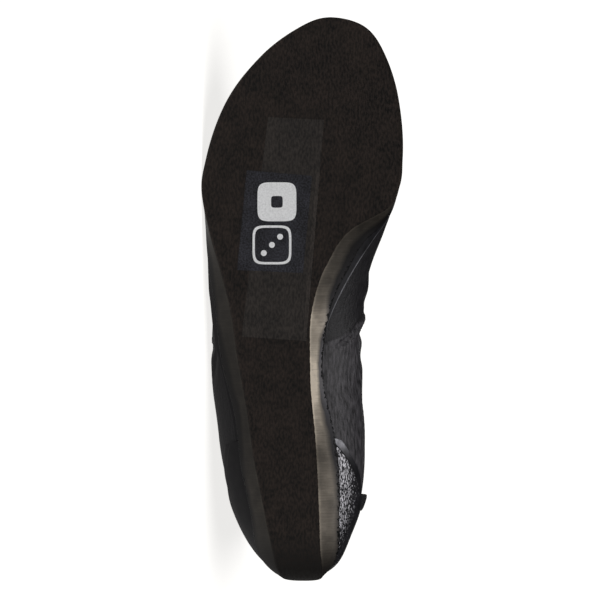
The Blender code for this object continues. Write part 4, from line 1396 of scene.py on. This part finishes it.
@dataclass
class Rand:
    """A strip of thin rubber round the foot of the upper, with a feathered top edge."""

    form: ShoeForm
    seam_turn: float = 57.5
    apart: float = 0.15
    column_step: float = 0.5
    face_rows: int = 36
    lip_rows: int = 22
    rand_height: float = 20 * MM
    heel_height: float = 46 * MM
    lip_thickness: float = 0.8 * MM
    foot: float = 0.14
    top_wobble: float = 0.25 * MM
    wobble_pitch: float = 23.0
    # Where the painted highlight lies along the toe rand's top edge, as a turn and a width
    edge_highlight: Pair = (97.0, 12.0)
    lip_highlight_spread: float = 2.3
    frayed_end: Pair = (62.5, 5.0)
    speck_top: float = 0.48
    speck_fade: float = 0.40
    sanded_glint_start: float = 10.0
    sanded_glint_rise: float = 26.0
    # Turn from which the painted shade line along the lip's foot starts
    seam_shade_start: float = 36.0

    def strip(self, turn: Array, shares: Array, top: Array, thickness: Array) -> Array:
        """A closed section: up the inner face, over the top edge and down the outer face.

        Args:
            turn: The strip's columns.
            shares: Rows as shares of the way up to the top, one for all columns or one for each.
            top: How far up its column the strip ends.
            thickness: How thick the strip is in each row, or in each row of each column.

        Returns:
            The section's points.
        """
        form = self.form
        climbs = self.foot + (top - self.foot) * shares
        inner = form.offset(turn[None, :], climbs, form.rand_gap)
        outer = form.offset(turn[None, :], climbs, form.rand_gap + thickness)
        return np.concatenate((inner[:1], outer, inner[::-1]))

    def capped(self, section: Array, rows: int) -> list[Grid]:
        """The strip's grids: its section along the shoe and a cap at both ends.

        Args:
            section: The strip's section, as strip() gives it.
            rows: How many rows each face has.

        Returns:
            The grids.
        """
        outer, inner = section[1:rows + 1], section[:rows:-1]
        caps = [np.stack((outer[:, k], inner[:, k])) for k in (0, -1)]
        return [Grid(part, measured_map(part)) for part in (section, *caps)]

    def build_toe(self, workshop: Workshop) -> bpy.types.Object:
        """The rand of the forefoot and the waist, from one heel seam round the toe to the other.

        Args:
            workshop: Makes the piece.

        Returns:
            The piece.
        """
        form = self.form
        inner = np.arange(self.seam_turn + self.column_step, 360.0 - self.seam_turn, self.column_step)
        turn = np.concatenate(([self.seam_turn + self.apart], inner, [360.0 - self.seam_turn - self.apart]))
        at = np.where(turn > 180, turn - 360, turn)
        uneven = wobble(turn, self.wobble_pitch, 2.0) * self.top_wobble
        top = form.climb_to(at, self.rand_height * form.plan("rand", at) + uneven)
        shares = np.linspace(0.0, 1.0, self.face_rows)
        thin = 0.55 + 0.45 * ease((1.0 - shares) / 0.08)
        round_off = np.sqrt(np.clip((1.0 - shares) / 0.015, 0.0, 1.0))
        thickness = form.rand_thickness * thin * (0.35 + 0.65 * round_off)
        section = self.strip(at, shares[:, None], top, thickness[:, None])
        grids = self.capped(section, self.face_rows)
        up = shares[:, None]
        # edge: a painted highlight along the top of the rand in the medial waist; fringe: the frayed end next
        # to the heel rand
        edge, fringe = (
            ease((up - start) / rise) * np.where(at > 0, bump_at(at - middle, width), 0.0)
            for start, rise, (middle, width) in ((0.86, 0.06, self.edge_highlight), (0.72, 0.1, self.frayed_end))
        )
        self.add_marks(grids[0], {"rubbed": 0.6 * edge, "sanded": fringe})
        return workshop.piece("toe_rand_sheet", grids, (RAND,), Slot.RAND, "toe_rand")

    def add_marks(self, grid: Grid, faces: dict[str, Array]) -> None:
        """Marks the strip's outer face, with 0 elsewhere on its section, and the whole strip's side.

        Args:
            grid: The strip's section.
            faces: Values of the outer face by the mark's name.
        """
        for name, values in faces.items():
            marked = np.zeros(grid.points.shape[:2])
            marked[1:len(values) + 1] = values
            grid.marks[name] = marked
        grid.marks["medial"] = medial_share(grid.points)

    def build_heel(self, workshop: Workshop) -> bpy.types.Object:
        """The heel rand with the thin layer in front of its slanting edge; its medial side shows sanding,
        with pale specks that are in part painted glints.

        Args:
            workshop: Makes the piece.

        Returns:
            The piece.
        """
        form = self.form
        end = self.seam_turn - self.apart
        inner = np.arange(-self.seam_turn + self.column_step, self.seam_turn, self.column_step)
        turn = np.concatenate(([-end], inner, [end]))
        edge, beyond = HEEL_RAND.around("lateral", "medial", turn), HEEL_RAND.around("lip", "lip", turn)
        top, lip = (form.climb_to(turn, self.heel_height * share) for share in (edge, edge + beyond))
        rise = (top - self.foot) / (lip - self.foot)
        below = 1.0 - (1.0 - np.linspace(0.0, 1.0, self.face_rows)[:, None]) ** 1.5
        above = np.linspace(0.0, 1.0, self.lip_rows)[1:, None]
        shares = np.concatenate((rise * below, rise + (1.0 - rise) * above))
        on_lip = np.concatenate((below * 0.0, above))
        up = np.concatenate((below, 1.0 + above))
        thick = form.rand_thickness + (self.lip_thickness - form.rand_thickness) * ease(on_lip / 0.2)
        thickness = thick * (0.4 + 0.6 * np.sqrt(np.clip((1 - on_lip) / 0.25, 0.0, 1.0)))
        section = self.strip(turn, shares, lip, thickness)
        grids = self.capped(section, len(shares))
        height = section[1:len(shares) + 1, :, 2] / self.heel_height
        fading = ease((self.speck_top - height) / self.speck_fade) * ease((0.985 - up) / 0.03)
        # Sanding on the medial heel, whose pale specks are in part painted glints
        sanded = ease((turn - self.sanded_glint_start) / self.sanded_glint_rise) * fading
        # Painted highlight with a pale band on the front end of the heel rand's lip
        lip_highlight = ease((on_lip - 0.12) / 0.08) * bump_at(turn - self.seam_turn, self.lip_highlight_spread) * 1.2
        # Painted shade: a dark line along the foot of the lip
        line = bump_at(up - 1.03, 0.05) * ease((turn - self.seam_shade_start) / 6.0)
        self.add_marks(grids[0], {"sanded": sanded, "rubbed": lip_highlight, "seam": line})
        return workshop.piece("heel_rand_sheet", grids, (RAND,), Slot.RAND, "heel_rand")


@dataclass
class Insole:
    """Board insole with its cloth cover, which shows through the collar."""

    form: ShoeForm
    thickness: float = 2.5 * MM
    column_step: float = 1.0
    sheet_rows: int = 40
    flange_foot: float = -0.8
    round_off: float = 0.94

    def build(self, workshop: Workshop) -> bpy.types.Object:
        """A flange on the lasting margin round a middle that reaches down to the sole.

        Args:
            workshop: Makes the piece.

        Returns:
            The piece.
        """
        form = self.form
        turn = np.arange(-180.0, 180.0 + self.column_step / 2, self.column_step)
        clear = -(form.upper_wall + 2 * form.gap)
        seat, out = form.seat_edge(turn)
        core = seat - out * (form.lasting_margin + 2 * form.gap)
        core[:, 2] = form.seat_height(core[:, 0]) + form.gap
        neck = core + np.array((0.0, 0.0, form.upper_wall))
        under = form.seat_height(form.plan_line("seat", turn)[0]) + form.upper_wall + form.gap
        climbs = np.linspace(0.0, 0.9, 46)
        heights = form.offset(turn[None, :], climbs[:, None], clear)[..., 2]
        index = np.clip(np.argmax(heights >= under + self.thickness, axis=0), 1, len(climbs) - 1)
        edge = climbs[index]
        shelf = (self.flange_foot, np.zeros_like(turn), edge / 2)
        flange = [form.offset(turn, climb, clear) for climb in shelf]
        rounded = form.offset(turn, edge * self.round_off, clear - 1.5 * form.gap)
        rings = np.stack((core, neck, *flange, rounded))
        half = len(turn) // 2
        share = np.linspace(0.0, 1.0, self.sheet_rows)[:, None, None]
        grids = [Grid(rings, measured_map(rings))]
        for ring in (rings[0], rings[-1]):
            sheet = ring[half:] * share + ring[half::-1] * (1 - share)
            grids.append(Grid(sheet, sheet[..., :2].copy()))
        return workshop.piece("insole_board", grids, (LINING,), Slot.LINING, "insole")


@dataclass
class PullLoop:
    """Pull loop: a folded webbing strap astride the collar's edge at the medial rear."""

    form: ShoeForm
    turn: float = 29.0
    width: float = 8 * MM
    thickness: float = 1.2 * MM
    rise: float = 11 * MM
    binding_step: float = 0.7 * MM
    oval_share: float = 0.96
    rows: int = 90
    columns: int = 9

    def build(self, workshop: Workshop) -> bpy.types.Object:
        """The strap's section, a flat oval, carried along the loop's path.

        Args:
            workshop: Makes the piece.

        Returns:
            The piece.
        """
        form = self.form
        ends = form.collar_edge(self.turn + np.array((-0.5, 0.5)))[0]
        speed = np.linalg.norm(ends[1] - ends[0])
        turns = self.turn + self.width / speed * np.linspace(-0.5, 0.5, self.columns)
        run = np.linspace(0.0, LOOP.columns["run"][-1], self.rows)
        climb, rise, side = (LOOP.read(name, run) for name in ("climb", "rise", "side"))
        climb = np.minimum(climb, 2.0)
        base = form.skin(turns[None, :], climb[:, None])
        normal = form.outward(turns[None, :], climb[:, None])
        step = np.interp(side, (-0.2, 0.2), (-form.upper_wall, self.binding_step))
        out = side * (self.thickness / 2 + form.gap) + step
        lift = form.collar_edge(turns)[1] * self.rise
        path = base + lift[None] * rise[:, None, None] + normal * out[:, None, None]
        along = unit(np.gradient(path, axis=0))
        width = unit(path[:, -1:] - path[:, :1])
        face = unit(np.cross(along, np.broadcast_to(width, path.shape)))
        bulge = np.sqrt(1 - np.linspace(-self.oval_share, self.oval_share, self.columns) ** 4)[None, :, None]
        half = face * self.thickness / 2 * bulge
        ring = np.concatenate((path + half, (path - half)[:, ::-1], (path + half)[:, :1]), axis=1)
        caps = [np.stack((path[k] + half[k], path[k] - half[k])) for k in (0, -1)]
        grids = [Grid(part, measured_map(part)) for part in (ring, *caps)]
        return workshop.piece("pull_loop_webbing", grids, (WEBBING,), Slot.WEBBING, "pull_loop")


@dataclass
class SolePrint:
    """The pressed panel on the tread, the film patch in it and two plain printed marks.

    Corners and centres are x and y in millimetres, with the corners from the toe's lateral one round.
    """

    form: ShoeForm
    panel: tuple[Pair, ...] = ((205.9, -14.1), (204.6, 10.6), (107.1, 2.7), (109.0, -26.0))
    panel_edge: tuple[Pair, ...] = ((181.6, 7.2), (181.5, 8.8), (107.1, 2.7), (107.1, 1.0))
    patch: tuple[Pair, ...] = ((182.5, -23.6), (179.9, 5.3), (137.1, 1.3), (138.4, -27.8))
    solid_mark: Pair = (168.5, -10.2)
    framed_mark: Pair = (149.5, -12.4)
    mark_half: float = 8.6
    mark_power: float = 5.0
    hole_share: float = 0.30
    frame_share: float = 0.88
    dot_step: float = 3.6
    dot_half: float = 1.3
    panel_lift: float = 0.03 * MM
    edge_lift: float = 0.048 * MM
    patch_lift: float = 0.08 * MM
    ink_lift: float = 0.13 * MM
    sunk: float = 0.05 * MM

    def slab(self, x: Array, y: Array, lift: float, closed: bool = False) -> list[Grid]:
        """A thin slab on the tread: its face, its edge and a back that is sunk into the rubber.

        Args:
            x: Rows of places along the shoe.
            y: Rows of places across it.
            lift: How far the face stands out of the tread.
            closed: Whether the rows run round, so that the slab has an edge at its first and last row only.

        Returns:
            The slab's grids.
        """
        base = self.form.tread_height(x)
        face = np.stack((x, y, base - lift), axis=-1)
        back = np.stack((x, y, base + self.sunk), axis=-1)
        border = [np.stack((face[k], back[k])) for k in (0, -1)]
        if not closed:
            border += [np.stack((face[:, k], back[:, k])) for k in (0, -1)]
        return [Grid(part, part[..., :2].copy()) for part in (face, back, *border)]

    def quad(self, corners: Sequence[Pair], lift: float) -> list[Grid]:
        """A four-cornered slab, straight between its corners.

        Args:
            corners: The toe's lateral and medial corners, then the heel's medial and lateral ones.
            lift: How far the face stands out of the tread.

        Returns:
            The slab's grids.
        """
        toe_left, toe_right, heel_right, heel_left = (np.array(corner) * MM for corner in corners)
        s = np.linspace(0.0, 1.0, 60)[:, None, None]
        t = np.linspace(0.0, 1.0, 24)[None, :, None]
        plan = (toe_left * (1 - t) + toe_right * t) * (1 - s) + (heel_left * (1 - t) + heel_right * t) * s
        return self.slab(plan[..., 0], plan[..., 1], lift)

    def tile(self, centre: Pair, half: float, power: float, hollow: float = 0.0) -> list[Grid]:
        """A superellipse: a rounded square for a high power and a disc for a power of 2.

        Args:
            centre: Its middle.
            half: Its half width.
            power: The superellipse's power.
            hollow: Its hole's share of the half width.

        Returns:
            The slab's grids.
        """
        angle = np.linspace(0.0, 2 * math.pi, 97)
        reach = (np.abs(np.cos(angle)) ** power + np.abs(np.sin(angle)) ** power) ** (-1 / power)
        share = np.linspace(hollow, 1.0, 6)[:, None]
        x = centre[0] * MM + half * MM * share * reach * np.cos(angle)
        y = centre[1] * MM + half * MM * share * reach * np.sin(angle)
        return self.slab(x, y, self.ink_lift, closed=True)

    def build(self, workshop: Workshop) -> None:
        """Adds the panel with its double medial edge, the patch and the two marks with their dots.

        Args:
            workshop: Makes the pieces.
        """
        workshop.piece("sole_pressed_panel", self.quad(self.panel, self.panel_lift), (TRACE,), Slot.SOLE)
        edge = self.quad(self.panel_edge, self.edge_lift)
        workshop.piece("sole_panel_edge", edge, (TRACE_EDGE,), Slot.SOLE)
        workshop.piece("sole_film_patch", self.quad(self.patch, self.patch_lift), (FILM,), Slot.SOLE)
        marks = self.tile(self.solid_mark, self.mark_half, self.mark_power, self.hole_share)
        marks += self.tile(self.framed_mark, self.mark_half, self.mark_power, self.frame_share)
        for across in (-1, 0, 1):
            x, y = (middle + self.dot_step * across for middle in self.framed_mark)
            marks += self.tile((x, y), self.dot_half, 2.0)
        workshop.piece("sole_printed_marks", marks, (INK,), Slot.SOLE)


@dataclass
class Stitching:
    """Rows of single stitches along a line on the upper."""

    upper: Upper
    length: float = 2.2 * MM
    pitch: float = 3.0 * MM
    thread: float = 0.24 * MM
    quarter_rows: Pair = (1.8 * MM, 4.2 * MM)
    collar_row: float = 4.6 * MM

    def stitches(self, line: Array) -> list[Grid]:
        """Stitches on a line of points, each a flattened capsule with its ends sunk into the leather.

        Args:
            line: The line's points.

        Returns:
            A grid for each stitch.
        """
        run = lengths_along(line[None], 1)[0]
        middles = np.arange(self.pitch, run[-1] - self.pitch, self.pitch)
        centre, ahead = (np.stack([np.interp(middles + step, run, line[:, k]) for k in range(3)], axis=-1)
                         for step in (0.0, 0.3 * MM))
        along = unit(ahead - centre)
        normal = self.normals(centre, along)
        side = np.cross(normal, along)
        s = np.linspace(-1.0, 1.0, 6)
        angle = np.linspace(0.0, 2 * math.pi, 7)
        thick = self.thread * np.sqrt(np.maximum(1 - s ** 4, 0.0))[:, None]
        sink = -0.2 * self.thread - 0.9 * self.thread * (s ** 4)[:, None]
        body = (
            centre[:, None, None] + along[:, None, None] * (s * self.length / 2)[None, :, None, None]
            + side[:, None, None] * (thick * np.cos(angle))[None, ..., None]
            + normal[:, None, None] * (thick * np.sin(angle) * 0.8 + sink)[None, ..., None]
        )
        return [Grid(stitch, np.broadcast_to(np.stack(np.meshgrid(angle, s), axis=-1) * MM, (6, 7, 2)))
                for stitch in body]

    def normals(self, points: Array, along: Array) -> Array:
        """Outward direction at points of the upper: away from the shoe's middle, square to the line.

        Args:
            points: The points.
            along: The line's direction at each.

        Returns:
            The directions.
        """
        middle = points * np.array((1.0, 0.0, 0.0)) + np.array((0.0, -2 * MM, 35 * MM))
        away = points - middle
        return unit(away - np.sum(away * along, axis=-1, keepdims=True) * along)

    def seam_line(self, side: Side, behind: float) -> Array:
        """A line on the quarter at a distance behind its front edge, from the rand to the tape.

        Args:
            side: The side of the shoe.
            behind: The distance.

        Returns:
            The line's points.
        """
        turn = side.value * np.linspace(66.0, 112.0, 140)
        climb = np.linspace(0.62, 1.9, 70)
        points = self.upper.outside(turn[None, :], climb[:, None])
        past = self.upper.past_seam(points) - behind
        index = np.clip(np.argmax(past < 0, axis=1), 1, len(turn) - 1)
        rows = np.arange(len(climb))
        before, after = past[rows, index - 1], past[rows, index]
        fall = np.where(np.abs(before - after) < 1e-12, 1.0, before - after)
        share = np.clip(before / fall, 0.0, 1.0)[:, None]
        line = points[rows, index - 1] * (1 - share) + points[rows, index] * share
        clear = self.upper.from_edge(line[:, None])[:, 0] > self.upper.tape_width
        return line[clear]

    def collar_line(self, below: float) -> Array:
        """A line on the tape at a distance below the collar's edge.

        Args:
            below: The distance.

        Returns:
            The line's points.
        """
        turn = np.linspace(-118.0, 118.0, 300)
        climb = np.linspace(2.0, 1.7, 24)
        points = self.upper.outside(turn[None, :], climb[:, None])
        gap = self.upper.from_edge(points) - below
        index = np.argmax(gap > 0, axis=0)
        crossed = (gap[0] < 0) & (index > 0)
        columns = np.arange(len(turn))[crossed]
        index = index[crossed]
        before, after = gap[index - 1, columns], gap[index, columns]
        share = (before / (before - after))[:, None]
        return points[index - 1, columns] * (1 - share) + points[index, columns] * share

    def build(self, workshop: Workshop) -> None:
        """Two rows behind the quarter's edge on each side, and one on the collar's tape.

        Args:
            workshop: Makes the pieces.
        """
        rows: list[Grid] = []
        for side in Side:
            for behind in self.quarter_rows:
                rows += self.stitches(self.seam_line(side, behind))
        workshop.piece("quarter_stitching", rows, (THREAD,), Slot.LEATHER)
        collar = self.stitches(self.collar_line(self.collar_row))
        workshop.piece("collar_stitching", collar, (THREAD,), Slot.LEATHER)


@dataclass
class Studio:
    """Pale floor, soft light from above and the camera at the photograph's angle."""

    placement: Placement
    elevation: float = 12.5 * DEG
    lens: float = 200.0
    sensor: float = 36.0
    view_width: float = 264.5 * MM
    view_centre: float = 125.2 * MM
    clip: Pair = (0.05, 60.0)
    floor_size: float = 14.0
    sky_power: float = 1.5
    sky_spread: float = 60.0 * DEG
    sky_tilt: float = 18.0 * DEG
    dim_light: float = 0.03

    def build(self) -> None:
        """Adds the floor, the lights, the world and the camera."""
        self.floor()
        self.sky_light()
        self.world()
        self.camera()
        bpy.context.scene.view_settings.view_transform = "Standard"

    def floor(self) -> None:
        """A wide flat sheet at the height that the shoe lies on."""
        half = self.floor_size / 2
        mesh = bpy.data.meshes.new("studio_floor")
        corners = [(-half, -half, 0.0), (half, -half, 0.0), (half, half, 0.0), (-half, half, 0.0)]
        mesh.from_pydata(corners, [], [(0, 1, 2, 3)])
        mesh.materials.append(FLOOR.material())
        made = bpy.data.objects.new("studio_floor", mesh)
        bpy.context.scene.collection.objects.link(made)

    def sky_light(self) -> None:
        """A wide soft light from above, tilted a little to the sole's side."""
        data = bpy.data.lights.new("overhead", "SUN")
        data.energy, data.angle = self.sky_power, self.sky_spread
        made = bpy.data.objects.new("overhead", data)
        up = np.array((0.0, -math.sin(self.sky_tilt), math.cos(self.sky_tilt)))
        made.rotation_euler = self.turned(up, np.array((1.0, 0.0, 0.0)))
        bpy.context.scene.collection.objects.link(made)

    def turned(self, back: Array, right: Array) -> Triple:
        """Euler angles of an object from two of its axes.

        Args:
            back: The Z axis.
            right: Where the X axis points, as nearly as it can.

        Returns:
            The angles.
        """
        side = unit(right - back * np.dot(right, back))
        up = np.cross(back, side)
        return tuple(Matrix(np.stack((side, up, back), axis=-1).tolist()).to_euler())

    def world(self) -> None:
        """Pale to the camera; dim as a light, so that black rubber stays black."""
        world = bpy.data.worlds.new("studio")
        world.use_nodes = True
        tree = world.node_tree
        tree.nodes.clear()
        seen = add_node(tree, "ShaderNodeLightPath").outputs["Is Camera Ray"]
        dim = add_node(tree, "ShaderNodeBackground", {"Color": linear("#f0f2f6"), "Strength": self.dim_light})
        pale = add_node(tree, "ShaderNodeBackground", {"Color": linear("#f6f6f6"), "Strength": 1.0})
        mix = add_node(tree, "ShaderNodeMixShader", {0: seen, 1: dim.outputs[0], 2: pale.outputs[0]})
        add_node(tree, "ShaderNodeOutputWorld", {"Surface": mix.outputs[0]})
        bpy.context.scene.world = world

    def camera(self) -> None:
        """Looks along +Y and down, rolled so that the toe is up and the shoe's medial side to the right."""
        forward = np.array((0.0, math.cos(self.elevation), -math.sin(self.elevation)))
        right = np.array((0.0, math.sin(self.elevation), math.cos(self.elevation)))
        data = bpy.data.cameras.new("camera")
        data.lens, data.sensor_width = self.lens, self.sensor
        distance = self.view_width * self.lens / self.sensor
        data.clip_start, data.clip_end = self.clip
        made = bpy.data.objects.new("camera", data)
        aim = self.placement.lay(np.array((self.view_centre, 0.0, 0.0)))
        made.location = aim - forward * distance
        made.rotation_euler = self.turned(-forward, right)
        bpy.context.scene.collection.objects.link(made)
        bpy.context.scene.camera = made


def main() -> None:
    """Builds the pieces in the order in which the shoe is put together, then the studio."""
    logging.basicConfig(level=logging.INFO, format="%(message)s")
    placement = Placement(frame["record"])
    workshop = Workshop(placement)
    form = ShoeForm()
    upper = Upper(form)
    upper.build(workshop)
    Stitching(upper).build(workshop)
    Insole(form).build(workshop)
    Rand(form).build_toe(workshop)
    Rand(form).build_heel(workshop)
    Outsole(form).build(workshop)
    SolePrint(form).build(workshop)
    PullLoop(form).build(workshop)
    Studio(placement).build()


if __name__ == "__main__":
    main()
